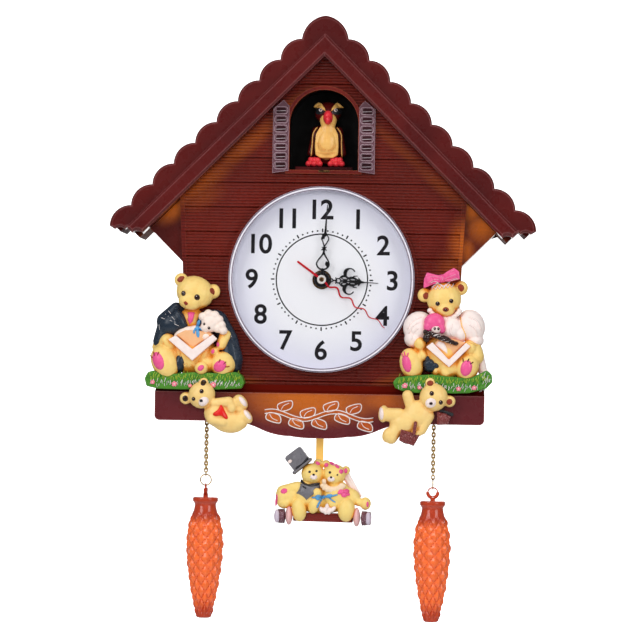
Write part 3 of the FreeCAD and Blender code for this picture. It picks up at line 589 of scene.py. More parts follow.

# The edge colours in these materials are painted highlights along sharp edges.
MATERIALS = {
    "roof_fascia": moulded("roof_brown", (94, 16, 13), (80, 12, 12), edge=(172, 108, 108), coat=0.5,
                           rim=1.3),
    "roof_shell": moulded("roof_side_brown", (86, 26, 20), (70, 20, 18), EAVES_GLOW, (214, 116, 40),
                          rough=(0.55, 0.7), mirror=0.04),
    "front_wall": moulded("wall_brown", (98, 16, 11), (78, 10, 9), GABLE_GLOW, ORANGE, (138, 52, 36),
                          coat=0.25, ribs=CLAPBOARD_RIBS),
    "case_frame": moulded("case_brown", (88, 20, 14), (70, 16, 14), GUSSET_GLOW, ORANGE, (160, 84, 64),
                          coat=0.2),
    "rear_cover": moulded("cover_brown", (62, 22, 18), (54, 18, 16), rough=(0.42, 0.6)),
    # the apron's cove above its lip gets painted shade
    "apron_board": moulded("apron_brown", (104, 36, 40), (92, 28, 34), APRON_GLOW, (216, 112, 20),
                           (170, 104, 100), coat=0.5, rim=1.2, shaded_above=APRON_LIP),
    "door_rim": moulded("rim_brown", (120, 28, 18), (96, 20, 16), edge=(170, 84, 50), coat=0.3),
    "bird_box": moulded("box_black", (10, 7, 7), (6, 5, 5), rough=(0.4, 0.6)),
    "bird_carriage": moulded("perch_maroon", (84, 8, 12), (40, 6, 8), rough=(0.25, 0.45)),
    "speaker": moulded("speaker_black", (30, 30, 32), (20, 20, 22), rough=(0.5, 0.7)),
    "pendulum_rod": moulded("rod_cream", (255, 214, 112), (255, 208, 104), rough=(0.3, 0.45)),
    "lens": clear_cover(),
    "bezel_ring": moulded("bright_bezel", (228, 224, 238), (204, 198, 216), rough=(0.06, 0.14),
                          coat=0.6, mirror=0.9),
    "circuit_board": board_material(),
    "motor_coil": coil_material(),
}
SHUTTER = moulded("shutter_mauve", (112, 76, 86), (94, 60, 70), edge=(190, 160, 170),
                  rough=(0.2, 0.34), coat=0.3)
MOVEMENT = moulded("movement_black", (34, 34, 36), (26, 26, 28), rough=(0.45, 0.6))
WHEEL = moulded("wheel_white", (226, 224, 214), (206, 202, 190), rough=(0.35, 0.5))
KNOB = moulded("knob_grey", (206, 206, 208), (188, 188, 190), rough=(0.4, 0.55))
BRASS = metal("pale_brass", (250, 222, 164), (222, 186, 122), (0.22, 0.4))
DARK_BRASS = metal("dull_brass", (172, 132, 84), (70, 48, 36), (0.2, 0.4))
STEEL = metal("steel", (188, 188, 192), (150, 150, 156), (0.22, 0.4), (1, 1, 6))
CELL = moulded("cell_jacket", (40, 84, 60), (30, 66, 48), rough=(0.25, 0.4), coat=0.3)

EYELET = moulded("eyelet_orange", (222, 84, 44), (180, 56, 36), rough=(0.2, 0.3))
SHARED = [
    (SHUTTER, ("left_shutter", "right_shutter")),
    (MOVEMENT, ("movement_front_housing", "movement_rear_housing", "pendulum_housing", "battery_cover",
                "bird_motor")),
    (WHEEL, ("hour_wheel", "minute_arbor", "motion_wheel", "centre_wheel", "third_wheel",
             "seconds_wheel", "step_wheel", "rotor", "bird_pinion", "pendulum_hanger")),
    (BRASS, ("left_chain", "right_chain", "chain_hooks")),
    (DARK_BRASS, ("dial_nut_and_washer", "centre_bush")),
    (STEEL, ("stator", "battery_contacts", "pivot_pin", "case_screws", "drive_magnet")),
    (KNOB, ("setting_knob",)), (EYELET, ("left_eyelet", "right_eyelet")),
    (MATERIALS["motor_coil"], ("drive_coil",)), (CELL, ("battery",)),
]
for paint, names in SHARED:
    for name in names:
        MATERIALS[name] = paint


def dial_paper():
    """White printed dial, with painted shade that makes it a little bluer and darker towards its rim."""
    paint = Paint("dial_white", Coat_Weight=0.2)
    paint.colour(paint.mix(paint.spot(0, 0, 68, 68, sharp=0.45), rgb(226, 226, 238), rgb(248, 248, 250)))
    paint.rough(paint.ramp(paint.noise(5, 3), 0.3, 0.7, 0.4, 0.55))
    paint.bump(paint.noise(0.5, 3), 0.01, 0.3)
    return paint.material


def glow(material, colour, strength):
    """A faint light of its own, in place of what passes through thin plastic."""
    shader = material.node_tree.nodes["Principled BSDF"]
    shader.inputs["Emission Color"].default_value = rgb(*colour)
    shader.inputs["Emission Strength"].default_value = strength


MATERIALS["dial_plate"] = dial_paper()
# a painted glow on the rod: a faint light of its own that also lifts it in the apron's shade
glow(MATERIALS["pendulum_rod"], (255, 196, 110), 0.3)
for name, paint in MATERIALS.items():
    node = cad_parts[name]
    node.data.materials.clear()
    node.data.materials.append(paint)

# ---------------------------------------------------------------- dial print
DIAL_Y = node_box("dial_plate")[0][1]
PRINT = DIAL_Y - 0.04
NUMERAL_HEIGHT, NUMERAL_RADIUS = 14.0, 49.4
CIRCLE_OUTER, CIRCLE_INNER = 32.5, 31.6
MINUTE_RADIUS, MINUTE_DOT = 34.4, 0.62
FIVE_INNER, FIVE_OUTER, FIVE_WIDTH = 33.7, 35.5, 1.0      # the strokes at every fifth minute
INK = moulded("dial_ink", (30, 26, 30), (24, 22, 26), rough=(0.3, 0.45))


def numerals():
    """The twelve numbers, one flat raised print each."""
    digits = Shape()
    for hour in range(1, 13):
        font = bpy.data.curves.new("digits", "FONT")
        font.body = str(hour)
        font.size = 1.0
        font.offset = 0.019
        font.extrude = 0.002
        font.resolution_u = 6
        font.space_character = 0.94
        holder = bpy.data.objects.new("digits", font)
        bpy.context.scene.collection.objects.link(holder)
        mesh = holder.evaluated_get(bpy.context.evaluated_depsgraph_get()).to_mesh()
        low = [min(v.co[i] for v in mesh.vertices) for i in (0, 1)]
        high = [max(v.co[i] for v in mesh.vertices) for i in (0, 1)]
        scale = NUMERAL_HEIGHT / (high[1] - low[1])
        angle = math.radians(30 * hour)
        cx, cz = NUMERAL_RADIUS * math.sin(angle), NUMERAL_RADIUS * math.cos(angle)
        points = [(cx + (v.co.x - (low[0] + high[0]) / 2) * scale, PRINT + (0.0 if v.co.z > 0 else 0.04),
                   cz + (v.co.y - (low[1] + high[1]) / 2) * scale) for v in mesh.vertices]
        digits.add(points, [tuple(p.vertices) for p in mesh.polygons])
        bpy.data.objects.remove(holder)
    return digits


piece("dial_numerals", numerals(), INK, "clock", smooth=False)
scale_ring = Shape().ring(0, 0, CIRCLE_OUTER, CIRCLE_INNER, PRINT, DIAL_Y)
for minute in range(60):
    angle = math.radians(6 * minute)
    sin, cos = math.sin(angle), math.cos(angle)
    if minute % 5:
        scale_ring.disc(MINUTE_RADIUS * sin, MINUTE_RADIUS * cos, MINUTE_DOT, PRINT, DIAL_Y, 14)
    else:
        ends = [(r * sin, r * cos, FIVE_WIDTH) for r in (FIVE_INNER, FIVE_OUTER)]
        scale_ring.ribbon(ends, PRINT, DIAL_Y)
piece("dial_minute_track", scale_ring, INK, "clock", smooth=False)

# ---------------------------------------------------------------- hands
HAND_BLACK = moulded("hand_black", (16, 15, 17), (12, 12, 13), edge=(90, 90, 96), rough=(0.25, 0.4),
                     coat=0.3)
HAND_RED = moulded("hand_red", (206, 16, 36), (186, 10, 30), rough=(0.25, 0.4), coat=0.3)
CAP_WHITE = moulded("cap_white", (236, 232, 228), (222, 216, 210), rough=(0.3, 0.4))


def along(path, clockwise):
    """Hand paths: (distance from the hub, sideways, width) turned to a direction."""
    sin, cos = math.sin(math.radians(clockwise)), math.cos(math.radians(clockwise))
    return [(u * sin + v * cos, u * cos - v * sin, w) for u, v, w in path]


def loop(u, v, half_u, half_v, width, start=0, stop=360, thick=0.0, thick_at=180):
    """An open or closed oval line; thick adds width on one side."""
    path = []
    for i in range(25):
        angle = start + (stop - start) * i / 24
        extra = thick * max(0.0, math.cos(math.radians(angle - thick_at))) ** 2
        path.append((u + half_u * math.cos(math.radians(angle)), v + half_v * math.sin(math.radians(angle)),
                     width + extra))
    return path


def hand(name, lines, node, body, y0, y1, clockwise, hub, thin, paint):
    """One clock hand cut from flat lines, in place of its CAD node."""
    shape = Shape()
    for line in lines:
        shape.ribbon(along([(u, v, w * thin) for u, v, w in smooth_path(line, 0.5)], clockwise), y0, y1)
    shape.disc(0, 0, hub, y0, y1)
    cast = melt(shape, 0.14, 2)
    piece(name, cast, paint, body, (node,))


minute_lines = [
    [(2, 0, 2.6), (7.2, 0, 1.8)],
    [(7.0, 0.0, 1.4), (7.8, -2.6, 1.2), (10.6, -4.5, 1.1), (13.6, -3.4, 1.1), (16.8, -1.2, 1.2),
     (19.5, 0, 1.3)],
    [(7.0, 0.0, 1.4), (7.8, 2.4, 1.3), (10.4, 4.3, 1.3), (13.6, 3.4, 1.1), (16.8, 1.2, 1.2),
     (19.5, 0, 1.3)],
    [(9.0, 3.6, 1.2), (11.3, 2.6, 2.6), (12.6, 2.4, 1.0)],
    [(18.0, 0, 1.6), (23.6, 0, 1.3)], [(20.6, -1.9, 0.6), (21.9, 0, 1.8), (22.6, -1.6, 0.6)],
    [(20.6, 1.9, 0.6), (21.9, 0, 1.8), (22.8, 1.6, 0.6)],
    [(23.2, 0.0, 1.1), (26.4, -1.2, 0.9), (28.6, -2.3, 0.9), (30.4, -1.6, 1.0), (31.3, 0.0, 1.1)],
    [(23.2, 0.0, 1.1), (26.0, 1.6, 0.9), (28.8, 2.7, 0.9), (30.9, 1.6, 0.9), (31.6, 0.0, 1.1)],
    [(28.2, -2.2, 1.0), (29.3, -0.9, 1.8), (30.2, -0.4, 1.0)],
    [(31.0, -2.0, 0.8), (32.4, 0, 1.5), (31.6, 1.6, 0.8)],
    [(31.0, 0, 1.9), (35.0, 0, 1.7), (38, 0, 1.35), (52.5, 0, 0.7)],
]
hour_lines = [
    [(3, 0, 2.4), (5.6, 0, 1.2)], loop(6.6, 0, 1.3, 1.1, 0.9), [(7.8, 0, 1.0), (9.6, 0, 1.2)],
    loop(11.6, 0, 1.9, 1.5, 0.9), [(9.8, -1.8, 1.0), (10.4, 0, 1.2), (9.8, 1.8, 1.0)],
    [(13.4, 0, 1.4), (24.8, 0, 1.1)], [(24.5, 0, 2.2), (28.6, 0, 1.7), (30.4, 0, 0.95), (39.5, 0, 0.55)],
]
for side in (-1, 1):
    hour_lines += [
        loop(16.4, side * 2.1, 2.5, 1.0, 0.85), loop(21.6, side * 1.35, 2.1, 0.75, 0.8),
        loop(19.6, side * 5.5, 3.5, 3.5, 1.0, 30, 330, 1.9, 190),
        [(12.6, side * 1.8, 1.0), (14.0, side * 3.4, 1.0), (16.6, side * 4.0, 1.1)],
        [(19.0, side * 2.4, 1.1), (21.4, side * 3.0, 1.2), (24.0, side * 2.0, 1.2), (27.2, 0, 1.6)],
        [(22.3, side * 3.8, 0.9), (24.9, side * 4.1, 0.5)],
        [(25.6, side * 2.9, 0.5), (27.4, 0, 2.0), (26.2, side * 1.2, 0.8)],
    ]
wave = [(u, (2.0 - 0.022 * u) * math.sin(2 * math.pi * (u - 3) / 12.2) * min(1.0, (u - 3) / 6),
         1.35 - 0.014 * (u - 3)) for u in [3 + 1.5 * k for k in range(36)]]
second_lines = [[(-20.6, 0, 1.6), (0, 0, 1.7), (3, 0, 1.5)], [p for p in wave if p[0] <= 56.0]]
MINUTE_AT, HOUR_AT, SECOND_AT = 3.6, 92.9, 126.0
minute_box, hour_box, second_box = (node_box(n) for n in ("minute_hand", "hour_hand", "second_hand"))
hand("minute_hand_ornate", minute_lines, "minute_hand", "minute", minute_box[0][1], minute_box[1][1],
     MINUTE_AT, 3.1, 0.95, HAND_BLACK)
hand("hour_hand_ornate", hour_lines, "hour_hand", "hour", hour_box[0][1], hour_box[1][1],
     HOUR_AT, 5.4, 0.92, HAND_BLACK)
hand("second_hand_wavy", second_lines, "second_hand", "seconds", second_box[1][1] - 0.5, second_box[1][1],
     SECOND_AT, 2.4, 1.0, HAND_RED)


def lathe(profile, x, z, steps=48):
    """A solid of revolution about y at (x, z), from (radius, y) points that start and end at radius 0."""
    rows = [[(x + r * math.cos(2 * math.pi * i / steps), y, z + r * math.sin(2 * math.pi * i / steps))
             for i in range(steps)] for r, y in profile]
    return Shape().rows(rows)


cap_front = second_box[0][1]
CAP_PROFILE = [(0.3, 0.55), (3.1, 0.5), (3.15, 0.2), (2.8, 0), (1.9, 0), (1.75, 0.2), (0.3, 0.2)]
PIN_PROFILE = [(0.2, 0.3), (1.7, 0.25), (1.6, 0.05), (0.9, -0.08), (0.2, -0.1)]
for name, profile, paint in (("cap", CAP_PROFILE, CAP_WHITE), ("pin", PIN_PROFILE, DARK_BRASS)):
    turned = lathe([(radius, cap_front + y) for radius, y in profile], 0, 0)
    piece("second_hand_" + name, turned, paint, "seconds")

# ---------------------------------------------------------------- bezel lines: painted reflections
bezel = Skin(node_shape("bezel_ring"))
BEZEL_DARK_REFLECTION = moulded("bezel_reflection_dark", (96, 70, 92), (60, 44, 60), rough=(0.15, 0.25), coat=0.4)
BEZEL_BRIGHT_REFLECTION = moulded("bezel_reflection_white", (255, 252, 255), (244, 240, 250), rough=(0.08, 0.14), coat=0.6)
# painted reflections on the bright bezel: two thin dark lines with a bright ring between them
dark_reflection_lines, bright_reflection_ring = Shape(), Shape()
for target, radius, width in ((dark_reflection_lines, 64.55, 0.6), (dark_reflection_lines, 62.7, 0.55), (bright_reflection_ring, 63.7, 0.7)):
    circle = [math.radians(4 * k) for k in range(91)]
    stroke(target, [(radius * math.cos(a), radius * math.sin(a)) for a in circle], width, bezel, 0.12, 1.2)
piece("bezel_painted_dark_lines", dark_reflection_lines, BEZEL_DARK_REFLECTION, "clock")
piece("bezel_painted_reflection", bright_reflection_ring, BEZEL_BRIGHT_REFLECTION, "clock")

# ---------------------------------------------------------------- louvres of the shutters
# Louvre paints: a lit copy of the shutter mauve for the rims, a dark one for painted shade in the pits and a
# bright one for painted highlight bars.
LOUVRE_LIT_RIM = moulded("louvre_lit_rim", (150, 116, 126), (126, 90, 100), edge=(216, 196, 204),
                      rough=(0.16, 0.26), coat=0.5)
LOUVRE_SHADE = moulded("louvre_shade", (58, 22, 30), (40, 14, 20), rough=(0.2, 0.3), coat=0.3)
LOUVRE_HIGHLIGHT = moulded("louvre_highlight", (226, 214, 218), (190, 172, 178), rough=(0.16, 0.26), coat=0.3)


LOUVRES, LOUVRE_PITCH, LOWEST_LOUVRE = 7, 6.45, 5.3


def louvres(name):
    """Seven moulded louvre loops on one shutter, painted paler as a highlight, each with a pit painted dark
    as shade and a bar painted bright as a highlight.
    """
    (x0, y0, z0), (x1, y1, z1) = node_box(name)
    x = (x0 + x1) / 2
    lit_rims, shaded_pits, highlight_bars = Shape(), Shape(), Shape()
    board = Skin(Shape().prism([(x0, z0), (x1, z0), (x1, z1), (x0, z1)], y0 + 0.15, y1))
    for i in range(LOUVRES):
        z = z0 + LOWEST_LOUVRE + LOUVRE_PITCH * i
        pill = [(x + sx * 2.9 + 1.6 * math.cos(a), z + sz * 0.9 + 1.6 * math.sin(a))
                for sx, sz, start in ((1, 1, 0), (-1, 1, 90), (-1, -1, 180), (1, -1, 270))
                for a in [math.radians(start + 30 * k) for k in range(4)]]
        patch(shaded_pits, pill, board, 0.25, 3)
        stroke(lit_rims, pill + pill[:1], 0.8, board, 0.8, smooth=False)
        stroke(highlight_bars, [(x - 3.2, z - 0.5), (x + 3.2, z - 0.2)], 1.2, board, 0.75, smooth=False)
    pieces(name, "clock", (
        ("_lit_loops", lit_rims, LOUVRE_LIT_RIM), ("_shaded_pits", shaded_pits, LOUVRE_SHADE), ("_highlight_bars", highlight_bars, LOUVRE_HIGHLIGHT)))


louvres("left_shutter")
louvres("right_shutter")

# ---------------------------------------------------------------- painted figures
HAIR = (1, 1, 4)
FUR = resin("bear_yellow", (252, 218, 132), (236, 146, 40), 5.0, grain=1.3, depth=0.5, low=0.5, hair=HAIR)
FUR_SMALL = resin("bear_cream", (252, 216, 138), (236, 158, 66), 3.6, grain=1.2, depth=0.45, low=0.5,
                  hair=HAIR)
FUR_DEEP = resin("bear_gold", (253, 222, 134), (242, 176, 64), 3.6, low=0.45)
NAVY = resin("jacket_navy", (38, 50, 64), (18, 26, 36), 3.4, rough=(0.2, 0.36))
WHITE_PAINT = resin("paint_white", (254, 238, 232), (222, 172, 160), 2.0)
TRIM = moulded("trim_white", (252, 246, 244), (244, 232, 230), rough=(0.3, 0.4))
# painted highlights on the bow
BOW_HIGHLIGHT = moulded("bow_highlight", (255, 168, 200), (250, 140, 180), rough=(0.2, 0.3))
WOOL = resin("wool_white", (254, 236, 224), (240, 196, 170), 1.6, grain=1.6, depth=0.5)
PEACH = resin("page_peach", (246, 190, 140), (230, 140, 70), 2.4)
PINK = resin("paint_pink", (246, 96, 156), (206, 54, 110), 1.5, rough=(0.2, 0.36))
ROSE = resin("paint_rose", (250, 140, 160), (236, 120, 120), 1.5)
EAR_BROWN = resin("ear_brown", (150, 56, 30), (96, 30, 16), 1.5)
DARK = resin("paint_dark", (44, 22, 18), (24, 12, 10), 1.0, rough=(0.14, 0.28))
RED_BROWN = resin("nose_red", (150, 44, 30), (100, 24, 18), 1.0)
SKY = resin("paint_blue", (92, 168, 224), (60, 120, 184), 1.2)
RED = resin("paint_red", (236, 30, 24), (180, 14, 14), 1.2, rough=(0.12, 0.26))
GRASS = resin("grass_green", (74, 140, 36), (12, 72, 20), 3.4, grain=1.0, depth=0.9, low=0.5)
# paler blades painted as highlights on the upper grass
GRASS_HIGHLIGHT = resin("grass_highlight", (182, 204, 62), (110, 160, 40), 1.2)
BARK = resin("basket_maroon", (124, 52, 50), (84, 30, 34), 1.2, speck=(206, 150, 150))
BLACK_PAINT = resin("paint_black", (40, 40, 44), (20, 20, 22), 1.2, rough=(0.18, 0.3))
DRESS = resin("dress_white", (255, 240, 234), (244, 200, 190), 3.2, low=0.4)


def flatten(shape, back):
    """Presses whatever lies behind the plane y = back flat onto it."""
    shape.points = [(x, min(y, back), z) for x, y, z in shape.points]
    return shape


def add_eye(dark, white, skin, x, z, half_x, half_z, turn=0.0, lift=0.7):
    """A dark eye or nose with a small glint."""
    patch(dark, oval(x, z, half_x, half_z, turn), skin, lift, 4)
    patch(white, oval(x - 0.15 * half_x, z + 0.35 * half_z, 0.22 * half_x, 0.2 * half_z), skin, lift + 0.3, 3)


def add_toes(shape, skin, lines, width=0.75):
    """Raised strokes on a sole."""
    for line in lines:
        stroke(shape, line, width, skin, 1.0)


def turf(outline, back, front, ledge, ledge_y):
    """A bank of grass with that outline, cut back where it stands in front of the ledge."""
    bed = flatten(melt(Shape().prism(outline, front, back), 0.6, 9), back)
    bed.points = [(x, min(y, ledge_y - 0.05), z) if z < ledge else (x, y, z) for x, y, z in bed.points]
    return bed


def add_blades(shape, skin, low, high, foot, top, lean, count, width=0.55):
    """Short painted blades of grass between low and high along x."""
    for i in range(count):
        x = low + (high - low) * (i + DICE.random() * 0.8) / count
        z = foot + (top - foot) * DICE.random()
        tall = 1.6 + 1.8 * DICE.random()
        tip = (x + lean * tall * (DICE.random() - 0.3), z + tall)
        stroke(shape, [(x, z), tip], width, skin, 0.35, 0.5, False)


def add_flower(petals, heart, skin, x, z, size):
    """Five petals round a heart."""
    for i in range(5):
        angle = 2 * math.pi * i / 5 + 0.3
        patch(petals, oval(x + 0.55 * size * math.cos(angle), z + 0.55 * size * math.sin(angle),
                           0.55 * size, 0.5 * size, steps=12), skin, 0.75, 3)
    patch(heart, oval(x, z, 0.36 * size, 0.36 * size, steps=10), skin, 1.05, 3)


BACK = node_box("left_figure")[1][1] - 0.1       # the plane that the large figures are fixed to
LEDGE, LEDGE_Y = node_box("apron_board")[1][2], node_box("apron_board")[0][1]


def left_bear():
    """The bear in a suit, with a lamb and a book, on its bank of grass."""
    fur = Shape().eggs(
        (-88.2, -53, -10.6, 13.4, 9.6, 11.6, -18), (-91.6, -58.2, -17, 8, 5.6, 5.8, -18),
        (-98.2, -51, -1.8, 4.9, 3.4, 4.9), (-75.4, -51, -9.6, 4.8, 3.4, 5.2), (-90.5, -50, -29, 9, 8, 8),
        (-90, -50.5, -53, 18, 11, 15), (-104.6, -57, -46.5, 5.2, 4.6, 5.2),
        (-73.6, -58, -51.4, 3.4, 3.2, 3), (-108, -55, -55, 9, 7, 9.5, 30),
        (-108.2, -58, -59.6, 9.2, 7.4, 12.4, 28), (-67.4, -57, -60.4, 8.8, 7.6, 9),
        (-80, -53, -60, 9, 8, 7), (-82.2, -60.5, -63.2, 4.9, 4.6, 4.7))
    fur.limbs(
        (-113, -50, -49, -106.5, -55.5, -44.6, 5, 5.6), (-66.2, -55, -40.5, -68.8, -57.5, -47, 4.4, 3.6))
    fur = flatten(melt(fur, 0.55, 4), BACK)
    skin = Skin(fur)
    coat = Shape().eggs(
        (-104.5, -53, -33, 8.6, 8, 8.6), (-98, -55, -30.5, 4.6, 5.4, 8.6, 26), (-75, -49, -30, 10, 6.4, 8),
        (-82, -54, -28.6, 4, 5, 7, -34), (-98.6, -48.6, -24, 4.4, 4, 6.4),
        (-97.8, -55, -59.5, 5, 6.6, 8.4, -16), (-62, -50.5, -61.5, 7.6, 7.4, 6.4),
        (-105.6, -53.4, -66.4, 9.4, 6.6, 3.2, -16))
    coat.limbs(
        (-101.5, -49.5, -22, -108.8, -51, -31, 4.6, 6.4), (-108.5, -51.5, -36, -110.6, -51, -45, 6.6, 6.8),
        (-72, -50, -30, -64.5, -51, -42, 7, 6.4), (-64.8, -50.5, -43, -62.2, -51.5, -57, 7.2, 8.6))
    coat = flatten(melt(coat, 0.55, 3), BACK)
    cloth = Skin(coat)
    lapels = Shape()
    strokes(lapels, 0.9, cloth, 0.55, (
        [(-100.6, -21), (-97.4, -26.5), (-92.3, -34.4)], [(-103, -21.6), (-101, -27), (-96, -35.6)],
        [(-81, -27), (-86, -30.4), (-91, -35)], [(-63.2, -38.6), (-61, -45), (-58, -49)]))
    # painted highlights on the jacket; the same shape later also takes white grass blades and the flowers'
    # hearts
    white = Shape()
    strokes(white, 0.5, cloth, 0.3, (
        [(-106.6, -23.6), (-104.6, -25.6)], [(-108.6, -25.8), (-106, -27.6)],
        [(-111.4, -28.6), (-108.4, -29.4)], [(-112.8, -33.4), (-112.2, -37)],
        [(-103.6, -27.8), (-101.4, -30)], [(-104.8, -30.4), (-101, -31.8)],
        [(-101.6, -32.8), (-98.6, -34.2)], [(-64.4, -39), (-61.8, -41)]), smooth=False)
    lamb = Shape().eggs((-76.4, -58.5, -31.6, 6.6, 5.4, 6.8), (-79.6, -59, -35, 4.2, 4.4, 3.6))
    for x, z, r in (
            (-82, -27.4, 3), (-78, -25.6, 3.3), (-73.6, -26.4, 3.3), (-70.6, -29.4, 3.2),
            (-68.8, -33.2, 3.1), (-67.4, -37, 3), (-71.4, -35.4, 3.3)):
        lamb.egg((x, -59.4, z), (r, 3.6, r))
    lamb.eggs(
        (-95, -57, -38.6, 7.6, 3.6, 3.4, 24), (-87.6, -57.5, -36.2, 4.4, 3.4, 2.6, 4),
        (-79.4, -58, -41.5, 4, 3.6, 3.6))
    lamb = melt(lamb, 0.5, 3)
    wool = Skin(lamb)
    book = Shape()
    book.prism([(-100.4, -40.4), (-88.6, -49.6), (-74.6, -39.6), (-80, -37.4), (-94, -37)], -60.8, -50)
    border = Shape()
    border.prism([
        (-100.3, -40.8), (-105.4, -43.8), (-88.5, -58.3), (-71.3, -42.9), (-74.5, -39.8), (-88.6, -50.2)],
        -64.2, -58.5)
    border = melt(border, 0.45, 2)
    book = melt(book, 0.6, 3)
    whole = Skin(fur, coat, lamb, book, border)
    pink, dark, glint, brown, nose, sky, folds = (Shape() for _ in range(7))
    paint_ovals(pink, skin, 0.7, (-112.2, -58.8, 4, 6.7, 22), (-69.2, -61.8, 5, 3.9, 34),
                (-82.3, -63.2, 2.6, 1.9, 40))
    paint_ovals(pink, whole, 0.6, (-71.4, -46.6, 1.4, 1.9, 20), (-74.4, -51.6, 1.3, 1.7, -20))
    patch(pink, [
        (-93, -24.6), (-90.4, -24), (-87.6, -24.6), (-88.2, -28), (-89, -31), (-91.2, -33.2), (-92.8, -30),
        (-92.2, -27.6)], whole, 1.3, 7)
    add_toes(brown, whole, (
        [(-119, -55), (-116.2, -56.8)], [(-116, -52.4), (-114.6, -55.4)],
        [(-111.8, -52.4), (-112.8, -55.2)], [(-69, -56.8), (-69.8, -59.6)],
        [(-64.8, -58.6), (-66.6, -60.6)], [(-62.4, -61.8), (-65.2, -62.4)]))
    patch(brown, soft([(-101, -2.4), (-99, 0.6), (-96, 0.6), (-96, -1.8), (-98, -3.8)]), skin, 0.4)
    patch(
        brown, soft([(-77.4, -7.6), (-75.4, -7.4), (-74.2, -9.8), (-74.8, -12), (-77.2, -10.4)]), skin, 0.4)
    for spot in ((-95.6, -11.5, 1.7, 1.9), (-85.9, -14.1, 2, 2.1)):
        add_eye(dark, glint, skin, *spot)
    patch(nose, [
        (-95.2, -17.4), (-93.6, -17), (-92, -18.4), (-92.6, -19.6), (-93.8, -19.8), (-94.8, -19)], skin,
        0.9)
    stroke(nose, [(-93.9, -19.4), (-94.3, -21.4)], 0.8, skin, 0.5, smooth=False)
    for spot in ((-80.6, -32.6, 0.8, 1), (-77.2, -35.4, 1, 1.1)):
        add_eye(dark, glint, wool, *spot, lift=0.5)
    for line, width in (
            ([(-84.2, -29.4), (-85.4, -33.4), (-85.2, -37.6), (-84.8, -42)], 2.6),
            ([(-84.4, -33), (-87.6, -37.4), (-87.6, -39.4)], 1.6), ([(-84.6, -35.4), (-82.4, -37.2)], 1.8)):
        stroke(sky, line, width, whole, 0.7)
    strokes(folds, 0.9, skin, 0.45, (
        [(-101, -49), (-99.4, -55)], [(-98, -50.6), (-96.6, -57)], [(-80.6, -52), (-84, -58.6)],
        [(-77, -50), (-79.6, -57)], [(-111, -43), (-109, -47)],
        [(-97, -56), (-94.6, -61), (-94.4, -65)], [(-93, -60), (-90.6, -65.4)],
        [(-89.6, -61), (-86.8, -66)], [(-107, -43), (-104.8, -46.6)]))
    ground = turf([
        (-121.8, -71), (-119.6, -66.6), (-116, -65.4), (-100, -67.4), (-86, -66), (-72, -66.6),
        (-58, -65.6), (-53.8, -68), (-52, -73), (-54, -77.2), (-80, -78.6), (-112, -78.2), (-120.4, -76.4)],
        BACK, -62, LEDGE, LEDGE_Y)
    lawn = Skin(ground)
    blades, light, petals = Shape(), Shape(), Shape()
    add_blades(white, lawn, -118, -54, -77.2, -73.4, 0.9, 62, 0.42)
    # paler blades painted as highlights on the upper grass
    add_blades(light, lawn, -118, -55, -72.5, -67.5, 0.8, 110, 0.6)
    add_blades(blades, lawn, -120, -55, -76, -67, 1, 70, 0.7)
    for x, z, size in ((-115.9, -73.6, 1.6), (-100.8, -74.6, 1.9), (-89.8, -75.6, 1.4), (-73.6, -74.8, 2)):
        add_flower(petals, white, lawn, x, z, size)
    piece("left_bear_fur", fur, FUR, "clock", ("left_figure",))
    pieces("left_bear_", "clock", (
        ("jacket", coat, NAVY), ("lapels", lapels, NAVY), ("lamb", lamb, WOOL), ("pages", book, PEACH),
        ("book_border", border, WHITE_PAINT), ("pads_and_tie", pink, PINK), ("eyes", dark, DARK),
        ("glints", glint, WHITE_PAINT), ("inner_ears", brown, EAR_BROWN), ("nose", nose, RED_BROWN),
        ("scarf", sky, SKY), ("belly_folds", folds, FUR), ("highlights", white, TRIM),
        ("grass", ground, GRASS), ("blades", blades, GRASS), ("highlight_blades", light, GRASS_HIGHLIGHT),
        ("flowers", petals, ROSE)))


